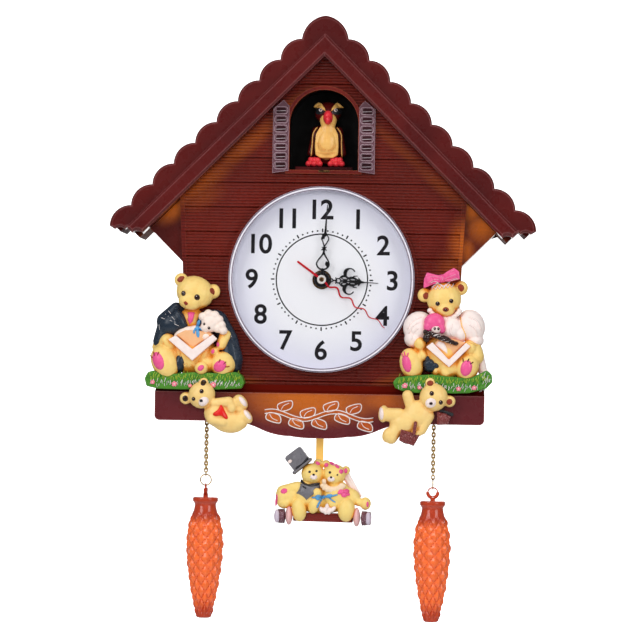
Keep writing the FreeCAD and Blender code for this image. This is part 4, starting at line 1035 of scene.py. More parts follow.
def right_bear():
    """The bear in a dress, with a doll and a book, on its bank of grass."""
    fur = Shape().eggs(
        (85.8, -53, -12.6, 12.2, 9.6, 11.8, 6), (86.8, -58, -20, 6.8, 5.4, 5), (72.2, -51, -10, 5, 3.6, 5),
        (97.6, -51, -4.6, 4.9, 3.6, 5.1), (87, -51, -52, 16, 10.5, 15), (69.4, -57, -44, 4.4, 5, 4.8),
        (71.2, -57.5, -52, 3.6, 4, 4), (104, -56, -46.6, 5.4, 6, 6), (63.8, -56.5, -58, 8.2, 7.6, 11.2, 14),
        (102.4, -57, -59.6, 8.6, 7.8, 10, -12), (87.6, -57, -63.6, 4.2, 5, 4.6), (90, -55, -60, 9, 7, 7),
        (80.8, -56.5, -62.5, 2.6, 4, 3.6))
    fur.limbs((106, -53, -41, 108, -54, -52, 4.6, 6.4))
    fur = flatten(melt(fur, 0.55, 4), BACK)
    skin = Skin(fur)
    dress = Shape().eggs(
        (68.6, -52, -32.6, 11, 8.4, 11.4, -24), (65, -52.5, -40.5, 6.6, 7.6, 6.4),
        (105, -52, -31, 9.8, 8.6, 12, 14), (107.6, -51.5, -41, 6.6, 7.4, 5), (86, -51, -32, 15, 8.6, 9.4),
        (91, -54, -33, 9, 8, 8.6), (97.6, -54, -37, 5, 7, 6), (115, -50.5, -63.6, 4.4, 4, 2.8, -24))
    dress.limbs((110, -49.5, -48, 113.4, -50, -62, 3.6, 3.4))
    for i in range(9):
        angle = math.radians(206 + 16 * i)
        dress.egg((86.4 + 11.4 * math.cos(angle), -57.6, -16.6 + 9.6 * math.sin(angle)), (2, 2.2, 1.9))
    dress = flatten(melt(dress, 0.5, 3), BACK)
    book, border = Shape(), Shape()
    book.prism([(78.6, -44.6), (90.4, -53.6), (101.4, -42.8), (92, -40), (82, -40.6)], -60.6, -50)
    border.prism([
        (78.2, -42.8), (73.8, -46.2), (90, -60), (104.8, -45.2), (101.4, -42.8), (89.8, -54.8)], -64, -58.5)
    border, book = melt(border, 0.45, 2), melt(book, 0.6, 3)
    bow = Shape()
    bow.prism(
        [(84.8, 3.2), (84.6, -0.4), (78, -2.6), (71.4, -5.4), (71.6, 1), (73.6, 5.8), (79, 4.4)], -58.6,
        -52)
    bow.prism(
        [(83.4, 3.2), (84.4, -0.6), (90, -0.4), (96.6, 1.4), (96, 6.6), (92.4, 9.2), (87.4, 6.4)], -58.6,
        -52)
    bow.eggs((84.2, -56.6, 1.6, 3.4, 4.2, 3), (75.6, -57, 0.6, 3.6, 3.6, 4), (91.6, -57, 4, 4.4, 3.6, 3.4))
    bow = melt(bow, 0.45, 6)
    bonnet = Shape().eggs(
        (79.4, -60, -29, 7.4, 4.8, 6.6), (84, -60.4, -32.6, 3, 4, 4.4, 24),
        (75.2, -60, -31.6, 3.4, 4, 4.4, -14))
    bonnet = melt(bonnet, 0.45, 3)
    face = Shape().eggs((80.7, -61.6, -33.8, 3.6, 4, 2.9))
    braid = Shape()
    for i in range(9):
        t = i / 8
        braid.egg((
            73.6 + 20.6 * t, -61.4 - 1.2 * math.sin(3 * t),
            -37.2 - 1.4 * math.sin(math.pi * t) - 7.6 * t ** 1.6 + 1.4), (2.2, 2.2, 2 - 0.5 * t))
    braid.eggs((74, -60.5, -40, 2.6, 2.4, 3), (88.6, -62, -40.8, 4.8, 2.2, 1.8, -32))
    braid = melt(braid, 0.4, 2)
    shoe = Shape().eggs(
        (76, -57.5, -57.6, 4.4, 4.2, 3.4, 16), (77.4, -57, -60.4, 4.8, 4, 3.2),
        (80.6, -57.4, -59, 3, 3.6, 2.6), (74.6, -57, -54, 2.2, 3, 2))
    shoe = melt(shoe, 0.45, 2)
    whole = Skin(fur, dress, book, border, bow, bonnet, face, braid)
    pink, dark, glint, brown, lace, folds, page, painted_highlight = (Shape() for _ in range(8))
    paint_ovals(pink, whole, 0.7, (60.6, -58, 3.2, 6.2, 14), (101.9, -60.4, 4.1, 5.8, -14))
    add_toes(pink, whole, (
        [(56.6, -50.4), (58, -53.2)], [(58.6, -49.4), (59.2, -52.4)], [(61.6, -50.2), (60.8, -52.8)]), 0.9)
    add_toes(dark, whole, (
        [(99.4, -53.4), (99.8, -56)], [(103.8, -53.6), (102.6, -56)], [(106.8, -56), (104.6, -57.6)]))
    for points in (
            [(74.4, -12.4), (72, -12.8), (71, -10), (73, -8), (75, -9.2)],
            [(96, -6), (95, -3.6), (97.2, -1.8), (99.6, -3.6), (99.4, -6.4), (97.6, -7.4)]):
        patch(brown, soft(points), skin, 0.4)
    for x, z in ((81.4, -16), (90.8, -14)):
        patch(folds, oval(x, z, 2.5, 2.3), skin, 0.35)
        add_eye(dark, glint, skin, x, z, 1.8, 1.8)
    patch(brown, oval(87.1, -20, 2.2, 1.7), skin, 0.9)
    add_eye(dark, glint, skin, 87, -20.2, 1.4, 1.1, lift=1.3)
    zigzag = [(77 + 1.4 * i, -6.4 + (2.4 if i % 2 else 0) + 0.2 * i) for i in range(12)]
    stroke(lace, zigzag, 1.2, whole, 0.9, smooth=False)
    stroke(lace, [(x, z + 1.6) for x, z in zigzag[::3]], 1, whole, 0.8)
    # painted highlights on the bow
    strokes(painted_highlight, 0.7, whole, 0.4, (
        [(82.4, 1), (78.6, 0.6), (74.6, -1.6)], [(82.4, 2.2), (79, 3), (76, 2.6)],
        [(86, 1.4), (89.6, 3), (93.6, 4.6)], [(86.4, 0.4), (90, 0.9), (94.6, 2.2)],
        [(83.2, 3), (84.6, 2.2), (84.4, 0.2)], [(90, 6.6), (92.6, 7.6)]))
    for points, width in (
            ([(79.2, -38.4), (84, -36.6)], 0.6), ([(76.4, -1.6), (79, -0.4), (82, -1.6)], 0.4),
            ([(88, -1.4), (91.6, 0.6), (95.6, 1.6)], 0.4)):
        stroke(lace, points, width, whole, 0.35)
    for i in range(20):
        t = i / 19
        x, z = 74.6 + 17 * t, -36.6 - 7.4 * t ** 1.5 + DICE.uniform(-1.6, 1.6)
        patch(lace, oval(x, z, 0.32, 0.3, steps=8), whole, 0.35, 2)
    for x in (79.7, 82.2):
        patch(dark, oval(x, -33.4, 0.95, 1.15), whole, 0.4, 3)
        patch(glint, oval(x - 0.1, -33, 0.35, 0.35, steps=8), whole, 0.7, 2)
    strokes(folds, 0.8, whole, 0.45, (
        [(97.4, -24.6), (98.4, -31), (101.2, -37.6), (101, -42)], [(63.2, -46), (66.6, -47.6)],
        [(101, -41), (106.4, -43.2), (109.6, -44.6)]))
    strokes(page, 1.2, whole, 0.5, (
        [(70.4, -25), (64, -28.4), (60.4, -34)], [(69.4, -28.6), (64.6, -31.6), (61.6, -37)],
        [(68.6, -33), (65, -36), (63.6, -41)], [(103, -24.6), (109, -27.6), (112.2, -34)],
        [(103, -30), (108, -33), (109.6, -38.6)], [(92, -30), (90.4, -34.6), (92.2, -38.6)]))
    patch(page, [(80, -44.4), (82.6, -41.8), (86.4, -43), (88.6, -47.6), (88.8, -51)], whole, 0.5)
    ground = turf([
        (51.2, -71), (53.6, -67.6), (64, -66), (78, -65.2), (92, -66.5), (104, -67.2), (110, -64.8),
        (116, -61.6), (119.8, -64.6), (120.2, -70), (116, -74.4), (104, -77.8), (80, -78.6), (60, -77.8),
        (52.6, -75)], BACK, -62, LEDGE, LEDGE_Y)
    lawn = Skin(ground)
    blades, light, petals = Shape(), Shape(), Shape()
    add_blades(lace, lawn, 55, 117, -77, -73.2, 0.9, 60, 0.42)
    add_blades(lace, lawn, 112, 118.6, -72, -64, 0.9, 12, 0.4)
    # paler blades painted as highlights on the upper grass
    add_blades(light, lawn, 54, 117, -72, -66.5, 0.8, 104, 0.6)
    add_blades(blades, lawn, 53, 117, -76, -66.4, 1, 70, 0.7)
    for x, z, size in ((59.6, -73.2, 1.9), (69.6, -74.4, 1.4), (96.8, -74.9, 1.7), (107.6, -74, 1.7)):
        add_flower(petals, lace, lawn, x, z, size)
    piece("right_bear_fur", fur, FUR, "clock", ("right_figure",))
    pieces("right_bear_", "clock", (
        ("dress", dress, DRESS), ("dress_folds", page, DRESS), ("pages", book, PEACH),
        ("book_border", border, WHITE_PAINT), ("bow", bow, PINK), ("bonnet", bonnet, PINK),
        ("doll_face", face, WHITE_PAINT), ("doll_braid", braid, DARK), ("blue_shoe", shoe, NAVY),
        ("pads", pink, PINK), ("eyes", dark, DARK), ("glints", glint, WHITE_PAINT),
        ("inner_ears", brown, EAR_BROWN), ("lace", lace, TRIM), ("bow_highlight", painted_highlight, BOW_HIGHLIGHT),
        ("seams", folds, FUR), ("grass", ground, GRASS), ("blades", blades, GRASS),
        ("highlight_blades", light, GRASS_HIGHLIGHT), ("flowers", petals, ROSE)))


left_bear()
right_bear()


def lazy_bear():
    """The small bear on the left, lying back with a heart."""
    back = node_box("left_small_figure")[1][1] - 0.1
    fur = Shape().eggs(
        (-81.5, -61.5, -82, 9.4, 7.6, 9.6, -40), (-80, -66, -86.2, 4.4, 3, 3.8, 40),
        (-80.2, -60, -73.2, 4.1, 3.4, 4.1), (-92.8, -60, -84.4, 4.3, 3.4, 4.3),
        (-69.2, -60.5, -95.4, 11, 6.4, 9.4, -24), (-62.6, -60.5, -100, 12.4, 6.2, 8.2, -8),
        (-60.6, -64, -90.2, 3.6, 3.6, 4.2), (-56, -60.5, -101, 7, 5.6, 5.4, 14),
        (-53.6, -61.5, -86.6, 3.6, 4.4, 5.6, 34), (-50, -61.5, -96.4, 3.4, 4.4, 5.4, 34),
        (-55, -60, -91, 4.6, 4.4, 4.6))
    fur.limbs(
        (-73, -63, -87.4, -62.6, -64, -86.6, 3.2, 3.9), (-74, -62.6, -98.4, -65.6, -64.6, -100.4, 4.2, 3.5),
        (-60, -60.5, -89.6, -55.6, -61.5, -85.6, 4, 4.4), (-58, -60, -99, -51, -61, -96.6, 4.4, 4.4))
    fur = flatten(melt(fur, 0.5, 3), back)
    skin = Skin(fur)
    white, brown, dark, glint, grey, heart = (Shape() for _ in range(6))
    paint_ovals(white, skin, 0.5, (-79.6, -86.6, 3.9, 3.3, 40), (-52.6, -86, 1.7, 4.4, 38),
                (-49.2, -95.2, 1.6, 4.2, 38))
    paint_ovals(brown, skin, 0.4, (-80.3, -73.4, 2, 2.2, -20), (-92.9, -84.6, 2.1, 2.2, 20))
    for spot in ((-81.1, -79.3, 1.5, 1.6), (-86.8, -84.8, 1.4, 1.5)):
        add_eye(dark, glint, skin, *spot)
    patch(grey, oval(-81.3, -85.9, 1.4, 1.2), skin, 1.2)
    tip, left, right = (-67.6, -88.4), (-73.4, -94.9), (-62.6, -97.6)
    outline = smooth_path([
        tip, (-69.6, -91.6), left, (-71.6, -96.6), (-67.6, -96.2), (-64, -98.4), right, (-64.4, -93.6)], 1,
        closed=True)
    patch(heart, [p[:2] for p in outline], skin, 1.6, 7)
    piece("left_small_bear_fur", fur, FUR_SMALL, "clock", ("left_small_figure",))
    pieces("left_small_bear_", "clock", (
        ("soles", white, WHITE_PAINT), ("inner_ears", brown, DARK), ("eyes", dark, DARK),
        ("glints", glint, WHITE_PAINT), ("nose", grey, BLACK_PAINT), ("heart", heart, RED)))


def travelling_bear():
    """The small bear on the right, with a backpack and a basket."""
    back = node_box("right_small_figure")[1][1] - 0.1
    fur = Shape().eggs(
        (79.6, -61.5, -81, 10, 7.6, 9.8, 40), (77.6, -66, -84.8, 4.6, 3, 4, 20),
        (77, -60, -70.8, 4.2, 3.4, 4.2), (90.6, -60, -83.6, 4.3, 3.4, 4.2),
        (68.6, -60.5, -94, 10.4, 6.6, 11.2, -20), (60.6, -60.5, -98.6, 11.6, 6.4, 8.6, 12),
        (68.4, -63, -106, 4, 3.4, 2.6), (45, -61, -93, 3.6, 4.8, 6, -6),
        (48.6, -60.8, -107.6, 4.2, 4.6, 5.6, -20))
    fur.limbs(
        (64, -61, -88, 61.6, -62, -80, 3.8, 3.9), (76, -61, -94, 71.6, -62.5, -103.6, 4.4, 3.6),
        (56, -60.5, -94, 47, -61, -93.4, 5.2, 4.8), (54.6, -60.5, -102, 50.6, -61, -109.4, 5.2, 4.6))
    fur = flatten(melt(fur, 0.5, 3), back)
    skin = Skin(fur)
    basket = Shape().prism([(57.4, -103.4), (70.6, -107.2), (66.4, -115), (56, -111.2)], -66, -58)
    basket = melt(basket.egg((62.4, -62.5, -109.2), (6, 4.6, 4.6)), 0.45, 4)
    weave = Skin(basket)
    cane, pack, strap, white, brown, dark, glint, nose = (Shape() for _ in range(8))
    for drop in (1.6, 3.6, 5.6, 7.6):
        stroke(cane, [
            (57.6 - 0.16 * drop, -103.4 - drop), (64 - 0.3 * drop, -105.2 - drop),
            (70 - 0.5 * drop, -107 - 0.9 * drop)], 1.3, weave, 0.45)
    cane.limbs((67.4, -67.2, -98.8, 66.4, -67.4, -106.2, 1.1, 1.2))
    pack.prism([(82, -90.4), (92, -94), (89.6, -99.8), (82.2, -100.2)], -61.5, back)
    pack.eggs((86.4, -59.5, -95.6, 4.6, 4.2, 4.4))
    strap.limbs((84.6, -60.6, -90, 92.4, -60.6, -92.6, 1.1, 1.3))
    paint_ovals(white, skin, 0.5, (77.6, -84.9, 4, 3.5, 20), (43.6, -92.8, 1.7, 4.6, 4))
    paint_ovals(brown, skin, 0.4, (77.1, -71.2, 2.4, 2, 10), (90.6, -84, 2.1, 2.3, -20))
    for spot in ((78.3, -78.2, 1.6, 1.7), (84.7, -84.4, 1.5, 1.6)):
        add_eye(dark, glint, skin, *spot)
    patch(nose, oval(77.9, -85.2, 1.4, 1.2), skin, 1.2)
    piece("right_small_bear_fur", fur, FUR_SMALL, "clock", ("right_small_figure",))
    pieces("right_small_bear_", "clock", (
        ("basket", basket, BARK), ("basket_cane", cane, BARK), ("backpack", melt(pack, 0.45, 3), BARK),
        ("strap", strap, BLACK_PAINT), ("muzzle", white, WHITE_PAINT), ("inner_ears", brown, EAR_BROWN),
        ("eyes", dark, DARK), ("glints", glint, WHITE_PAINT), ("nose", nose, DARK)))


lazy_bear()
travelling_bear()


# ---------------------------------------------------------------- pendulum bob
HAT = resin("hat_grey", (122, 120, 126), (50, 46, 52), 2.0, rough=(0.22, 0.36))
LILAC_WHITE = resin("wheel_white_paint", (216, 204, 220), (120, 84, 104), 2.0)
TREAD = resin("tread_maroon", (110, 66, 78), (54, 26, 32), 1.2, speck=(214, 190, 196))
FENDER = resin("fender_pink", (242, 192, 190), (226, 144, 146), 2.2)
LACE = resin("lace_cream", (252, 224, 190), (236, 176, 130), 1.4, grain=1.2, depth=0.3)
BENCH = resin("bench_maroon", (140, 46, 38), (84, 22, 22), 1.4)


def couple():
    """Two bears side by side in a little open car."""
    back = node_box("bob_figure")[1][1] - 0.05
    fur = Shape().eggs(
        (-4.4, -41.5, -136.2, 8.1, 7.2, 7.6), (-3.4, -46.4, -138.4, 3.6, 2.6, 2.8),
        (10.8, -41.5, -136.4, 8.2, 7.2, 7.8, -12), (9, -46.4, -139, 3.6, 2.6, 2.8),
        (-0.8, -40, -128.4, 3, 2.6, 2.8), (5, -40, -129.2, 3.2, 2.6, 3), (19, -40, -133.4, 3, 2.6, 3.2),
        (-8, -41, -150, 9.4, 6.8, 9.6), (13, -41, -150.6, 10, 6.8, 10), (-24.6, -41, -152, 5.6, 5.4, 7.6),
        (-23.8, -41, -156.6, 5.4, 5.4, 4.4), (33, -41, -156.4, 4, 4.6, 4.6), (29, -40.6, -155.6, 4, 3.6, 3),
        (-13.4, -44, -161.4, 5.4, 5.6, 8.4, 6), (19.8, -44, -161, 6.2, 5.6, 8.4, -4),
        (-2.6, -44.6, -157.4, 4.4, 4.8, 6.8, -18), (-1, -45.6, -149.6, 3.6, 3.4, 3.8),
        (10.6, -43, -156.6, 4.8, 4.6, 4.4), (2, -38.6, -155, 23, 4.8, 9), (-21, -40, -152, 8.4, 5.6, 8.2),
        (22, -39.6, -152.4, 7.4, 5.2, 6.4), (2, -40, -143, 5, 5, 4))
    fur.limbs(
        (-15, -40.5, -145.6, -25, -41.5, -149, 4, 4.6), (21, -40, -148.6, 27.6, -40.5, -155, 3.6, 3.2))
    fur = flatten(melt(fur, 0.5, 3), back)
    skin = Skin(fur)
    hat = Shape()
    hat.prism([
        (-24, -125.8), (-23, -124), (-14.4, -117.4), (-12.8, -117.6), (-6.8, -125.6), (-17, -134.6)], -46,
        -34)
    hat = melt(hat.egg((-15.4, -40.5, -126), (6.4, 6.4, 6.4)), 0.5, 5)
    crown = Skin(hat)
    brim = melt(Shape().limb((-17.2, -41, -135.6), (-6.2, -41, -126.2), 1.5, 1.5, 4.2), 0.5, 2)
    band, painted_highlight, dark, white, pink, sky = (Shape() for _ in range(6))
    stroke(band, [(-16.2, -132.6), (-11, -129.2), (-7.4, -124.4)], 2, crown, 0.5)
    # a painted highlight on the hat's crown
    patch(painted_highlight, oval(-20.2, -127.6, 1.6, 1.2, 30), crown, 0.4)
    for x, z, r in ((-6.2, -134.6, 1), (-1.4, -134, 0.9), (8, -134.8, 1), (13.3, -136.4, 0.7)):
        patch(dark, oval(x, z, r, 0.95 * r, 30), skin, 0.5, 3)
    for x, z in ((-3.3, -138.2), (8.9, -139.4)):
        patch(white, oval(x, z, 2.7, 1.9), skin, 0.45)
    for x, z in ((-3.3, -136.6), (8.9, -138.2)):
        patch(dark, oval(x, z, 1, 0.85), skin, 1, 3)
    for x, z, half_x, half_z, turn in (
            (-0.8, -128.6, 2, 1.2, -24), (5.2, -129.8, 1.7, 1.5, 40), (9.4, -128.8, 2.4, 1, -24),
            (13, -130.4, 2, 1.2, -40), (15.9, -134, 1.6, 1.7, 0), (18.9, -133.6, 1.3, 1.9, 0),
            (-24, -148.4, 2.5, 1.9, 20), (34.6, -156.8, 0.9, 2.1, 0), (-29.4, -155, 0.9, 4.6, -6)):
        patch(pink, oval(x, z, half_x, half_z, turn, 14), skin, 0.55)
    for x, z, r in (
            (16.2, -148, 2.2), (19.6, -147.8, 2.2), (18.2, -150.4, 2.3), (15, -149, 1.5),
            (20.8, -150, 1.5)):
        patch(pink, oval(x, z, r, 0.8 * r, 0, 14), skin, 0.8)
    jacket = Shape()
    outline = [
        (-13, -142.8), (-15.8, -150), (-8.2, -154.6), (-3, -150), (1.6, -145), (1.2, -142), (-6, -143)]
    patch(jacket, outline, skin, 1.2, 8)
    suit = Skin(fur, jacket)
    for line, width in (
            ([(-12.6, -140.4), (-9, -143.4), (-3.6, -144), (1.2, -142.6)], 1.6),
            ([(-12.8, -141.6), (-10.4, -142.8)], 2.4), ([(-11, -144.8), (-8.4, -146.2)], 1.2)):
        stroke(band, line, width, suit, 0.6)
    patch(band, oval(-12.9, -147.6, 0.5, 0.5, steps=8), suit, 0.4, 2)
    lace = Shape()
    for i in range(8):
        angle = math.radians(200 + 20 * i)
        lace.egg(
            (10.2 + 7 * math.cos(angle), -46, -142.4 + 4.6 * math.sin(angle)), (1.9, 1.5, 2.6), 20 * i - 70,
            12)
    lace = melt(lace.egg((4, -47, -141), (1.7, 1.6, 1.8)), 0.4, 2)
    veil = Shape()
    for lane in range(5):
        veil.limb(
            (17.4 + 0.7 * lane, -38.5 - 0.4 * (lane % 2), -138.6 + 0.9 * lane),
            (26.6 + 0.8 * lane, -38.5, -153.2 + 0.5 * lane), 0.85, 0.7, 1.4, 10)
    veil = flatten(melt(veil, 0.35, 1), back)
    blossom = Shape()
    for x, z, turn in (
            (2.6, -161, 40), (5, -161.8, 14), (8, -161.8, -16), (10.6, -160.4, -40), (6.4, -159.2, 0)):
        blossom.egg((x, -46, z), (1.6, 2, 2.7), turn, 14)
    blossom = melt(blossom, 0.35, 1)
    whole = Skin(fur, jacket, lace, blossom)
    for line, width in (
            ([(-4.6, -152.6), (-1, -152.4), (3.4, -152), (8, -151.6), (13.7, -150.2)], 1.3),
            ([(2.6, -153.4), (0.8, -156.4), (-0.6, -159.8)], 1.6),
            ([(7.8, -152.8), (10, -154.4), (12.2, -155.6)], 1.1)):
        stroke(sky, line, width, whole, 0.9)
    for x, z, half_x, half_z, turn in (
            (0.4, -152.4, 2.7, 2, 0), (7.6, -151.4, 2.8, 1.5, 14), (3.6, -152.2, 1.3, 1.5, 0)):
        patch(sky, oval(x, z, half_x, half_z, turn), whole, 1.4)
    bench, grain = Shape(), Shape()
    bench.prism([(-17.6, -163.4), (24.4, -163.8), (24.4, -170), (-17.6, -169.4)], -43, back)
    bench = melt(bench, 0.5, 2)
    plank = Skin(bench)
    for z in (-165.2, -166.9, -168.5):
        stroke(grain, [(-17, z), (-6, z + 0.5), (6, z - 0.3), (24, z)], 0.7, plank, 0.5)
    fender = Shape().eggs((-20.4, -42, -165.6, 2.6, 6.6, 6.8), (27, -42, -166, 2.6, 6.6, 6.8))
    fender = flatten(melt(fender, 0.45, 2), back)
    tyre, hubs = Shape(), Shape()
    for inner, outer, z in ((-22.8, -30.6, -166.2), (29.8, 37, -166.8)):
        way = 1 if outer > inner else -1
        for k in range(5):
            tyre.egg((inner + way * (1.2 + 1.35 * k), -39.6, z), (1.1, 6.4, 5.4 - 0.12 * k), 0, 24)
        tyre.egg((inner + way * 3.4, -39.6, z), (3.6, 6, 5.1), 0, 24)
        hubs.egg((outer - way * 1.8, -44, z), (2.1, 2.8, 4.7), 0, 24)
        hubs.egg((outer - way * 1.2, -39.6, z), (1.4, 6, 4.9))
    tyre, hubs = (flatten(melt(s, 0.4, 1), back) for s in (tyre, hubs))
    piece("bob_bears_fur", fur, FUR_DEEP, "pendulum", ("bob_figure",))
    pieces("bob_", "pendulum", (
        ("hat", hat, HAT), ("hat_brim", brim, HAT), ("hat_band_and_tie", band, BLACK_PAINT),
        ("hat_highlight", painted_highlight, WHITE_PAINT), ("eyes", dark, BLACK_PAINT), ("muzzles", white, WHITE_PAINT),
        ("pink_marks", pink, PINK), ("ribbon", sky, SKY), ("jacket", jacket, HAT),
        ("collar", lace, LACE), ("veil", veil, DRESS), ("blossom", blossom, WHITE_PAINT),
        ("bench", bench, BENCH), ("bench_grain", grain, BENCH), ("fenders", fender, FENDER),
        ("tyres", tyre, TREAD), ("hubs", hubs, LILAC_WHITE)))


couple()

# ---------------------------------------------------------------- bird
PLUMAGE = resin("bird_maroon", (84, 16, 16), (30, 8, 8), 2.0, rough=(0.1, 0.22))
CREAM = resin("bird_cream", (250, 196, 110), (214, 130, 50), 2.4, rough=(0.22, 0.34))
CORAL = resin("bird_coral", (236, 56, 66), (176, 24, 34), 1.2, rough=(0.1, 0.22), grain=0.9, depth=0.25)


def bird():
    """The bird in the doorway."""
    feathers = Shape().eggs(
        (1.8, -26.5, 118.4, 9.4, 6.8, 8), (1.5, -24.5, 97, 11.4, 6.6, 15), (1.5, -22, 88, 7, 4.6, 4.6))
    feathers.limbs((-6.2, -26.5, 106, -9.8, -27, 90, 3, 2.6), (9.6, -26.5, 106, 12.8, -27, 90, 3, 2.6))
    feathers = melt(feathers, 0.45, 3)
    cream = Shape()
    cream.prism([
        (-3.6, 108), (-6.4, 103), (-7, 95), (-6.4, 88.4), (-3, 86.2), (6, 86.2), (9.4, 88.4), (9.9, 95),
        (9.4, 103), (6.8, 108)], -32.6, -25)
    cream.eggs((1.5, -28, 97, 8.6, 7.4, 12), (2.2, -29, 113.4, 6.2, 5.4, 7.2), (2, -28.8, 106.6, 5.6, 5, 6))
    cream = melt(cream, 0.45, 16)
    skin = Skin(feathers, cream)
    folds, brows, edge, beak, eyes, rings, feet = (Shape() for _ in range(7))
    strokes(folds, 0.45, skin, 0.35, (
        [(-5.2, 96.6), (-3.6, 92.6), (0.4, 91)], [(-4.2, 97), (-2, 93.2), (1, 91.8)],
        [(8, 96.6), (6.6, 92.8), (2.6, 91)], [(6.4, 95), (4.8, 92.4), (2.6, 91.8)],
        [(-5.6, 90.2), (1.4, 89.2), (8.6, 90.2)]))
    patch(brows, [
        (0.8, 118.8), (-3.2, 121.2), (-8.8, 122.6), (-7.4, 124.4), (-5.2, 126.2), (-2.6, 125),
        (-0.4, 121.8)], skin, 1.3, 7)
    patch(brows, [
        (3.8, 118.9), (4.8, 122), (6.6, 125.2), (8.2, 126.2), (10.4, 124.8), (13, 122.4), (9.8, 122.2),
        (7, 121)], skin, 1.3, 7)
    strokes(edge, 1, skin, 0.8, (
        [(-5.4, 108.4), (-8.4, 103.6), (-8.9, 96), (-9.6, 87.8)],
        [(8, 108.4), (11.4, 103.6), (11.8, 96), (12.2, 87)]))
    beak.eggs((2.2, -35, 114.6, 3.5, 5.4, 5.2), (2.2, -37.5, 112.6, 2.4, 4.4, 3.4))
    beak = melt(beak, 0.35, 2)
    for x in (-3.4, 7.6):
        patch(eyes, oval(x - 0.8 * (1 if x < 0 else -1), 119.6, 3.4, 2.8), skin, 0.6)
    sockets = Skin(feathers, cream, eyes)
    for x in (-3.2, 7.4):
        patch(rings, oval(x, 120.2, 1.35, 1.25), sockets, 0.6)
        patch(eyes, oval(x + 0.1, 120.2, 0.75, 0.7), Skin(feathers, cream, rings), 0.7, 3)
    for middle in (-7.2, 8.4):
        for row, (z, depth) in enumerate(((85, -29), (82, -33))):
            for k in range(3):
                feet.egg(
                    (middle + (k - 1) * (2.6 + row * 1.4), depth - DICE.random(), z), (2.2, 3.4, 2.2), 0,
                    14)
        feet.egg((middle, -28.5, 83), (3.6, 5, 3.4))
    foot_low = node_box("bird_figure")[0][2]
    feet = melt(feet, 0.35, 1)
    feet.points = [(x, y, max(z, foot_low)) for x, y, z in feet.points]
    piece("bird_feathers", feathers, PLUMAGE, "bird", ("bird_figure",))
    pieces("bird_", "bird", (
        ("belly", cream, CREAM), ("folds", folds, CREAM), ("brows", brows, CREAM),
        ("wing_edges", edge, CREAM), ("beak", beak, CORAL), ("eyes", eyes, BLACK_PAINT),
        ("eye_rings", rings, WHITE_PAINT), ("feet", feet, CORAL)))


bird()
sill = node_box("front_wall")[0][1]
latch = Shape().prism([(-3.4, 75.2), (4.4, 75.2), (4.4, 76.6), (-3.4, 76.6)], sill - 0.6, sill + 0.6)
piece("door_latch", melt(latch, 0.2, 2), DARK_BRASS, "clock")


# ---------------------------------------------------------------- cones
def cone_paint(name, low, high):
    """Orange scales with painted shade in the maroon valleys, turning maroon towards the neck and the tip,
    with a faint painted glow.
    """
    paint = Paint(name, Coat_Weight=0.7, Coat_Roughness=0.05, Specular_IOR_Level=0.3)
    up = paint.node("SeparateXYZ", paint.where).outputs["Z"]
    tip = paint.ramp(up, low + 16 * MM, low + 2 * MM)
    ends = paint.math("MAXIMUM", tip, paint.ramp(up, high - 20 * MM, high - 12 * MM))
    # painted shade: the ambient occlusion darkens the valleys between the scales
    base = paint.mix(paint.creases(2.6, 0.45, 0.9), rgb(196, 36, 10), rgb(255, 120, 56))
    base = paint.mix(paint.math("MULTIPLY", ends, 0.85), base, rgb(152, 34, 24))
    base = paint.mix(paint.ramp(paint.noise(3, 3), 0.4, 0.8, 0, 0.4), base, rgb(214, 78, 50))
    paint.colour(base)
    paint.rough(paint.ramp(paint.noise(4, 3), 0.3, 0.7, 0.16, 0.28))
    paint.bump(paint.noise(0.8, 3), 0.08, 0.5)
    glow(paint.material, (255, 80, 24), 0.08)
    return paint.material


# A cone's profile from its tip up: the share of its height, and the radius in mm.
CONE_PROFILE = [(0.00, 4.2), (0.008, 5.4), (0.03, 5.7), (0.08, 6.0), (0.25, 9.2), (0.45, 11.7), (0.62, 12.5),
                (0.74, 11.6), (0.84, 9.6), (0.90, 8.0), (0.935, 7.5), (0.955, 8.2), (0.965, 9.0),
                (0.992, 9.0), (1.0, 8.2)]


SCALE_ROWS = SCALES_ROUND = 9


def cone(name, node, body):
    """A cone of overlapping scales, with a bare neck and a bare tip."""
    (x0, y0, z0), (x1, y1, z1) = node_box(node)
    x, y = (x0 + x1) / 2, (y0 + y1) / 2
    rows, steps, levels = [], 144, 190
    for level in range(levels + 1):
        t = level / levels
        radius = np.interp(t, *zip(*CONE_PROFILE))
        fade = min(1.0, max(0.0, (t - 0.02) / 0.04), max(0.0, (0.88 - t) / 0.05))
        row = []
        for step in range(steps):
            u, v = SCALE_ROWS * t, SCALES_ROUND * step / steps
            a, b = (u + v) % 1.0, (u - v) % 1.0
            dome = (1 - (2 * a - 1) ** 2) * (1 - (2 * b - 1) ** 2)
            tip = (2 - a - b) / 2
            ridge = max(0.0, 1 - abs(a - b) / 0.25)
            out = radius + fade * (dome ** 0.5 * (1.3 + 0.7 * tip + 0.4 * ridge) - 1.0)
            angle = 2 * math.pi * step / steps
            row.append((x + out * math.cos(angle), y + out * math.sin(angle), z0 + (z1 - z0) * t))
        rows.append(row)
    for level in (0, -1):
        rim = rows[level]
        caps = [[(x + (px - x) * share, y + (py - y) * share, pz) for px, py, pz in rim]
                for share in (0.8, 0.3, 0.05)]
        rows = caps[::-1] + rows if level == 0 else rows + caps
    low, high = place(0, 0, z0).z, place(0, 0, z1).z
    piece(name, Shape().rows(rows), cone_paint(name + "_paint", low, high), body, (node,))


def swollen(node, amount, low, high):
    """A CAD node's surface grown outwards by amount between two heights."""
    shape = node_shape(node)
    grown = []
    for (x, y, z), vertex in zip(shape.points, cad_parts[node].data.vertices):
        share = amount if low < z < high else 0.0
        grown.append((x + vertex.normal.x * share, y + vertex.normal.y * share, z + vertex.normal.z * share))
    shape.points = grown
    return shape


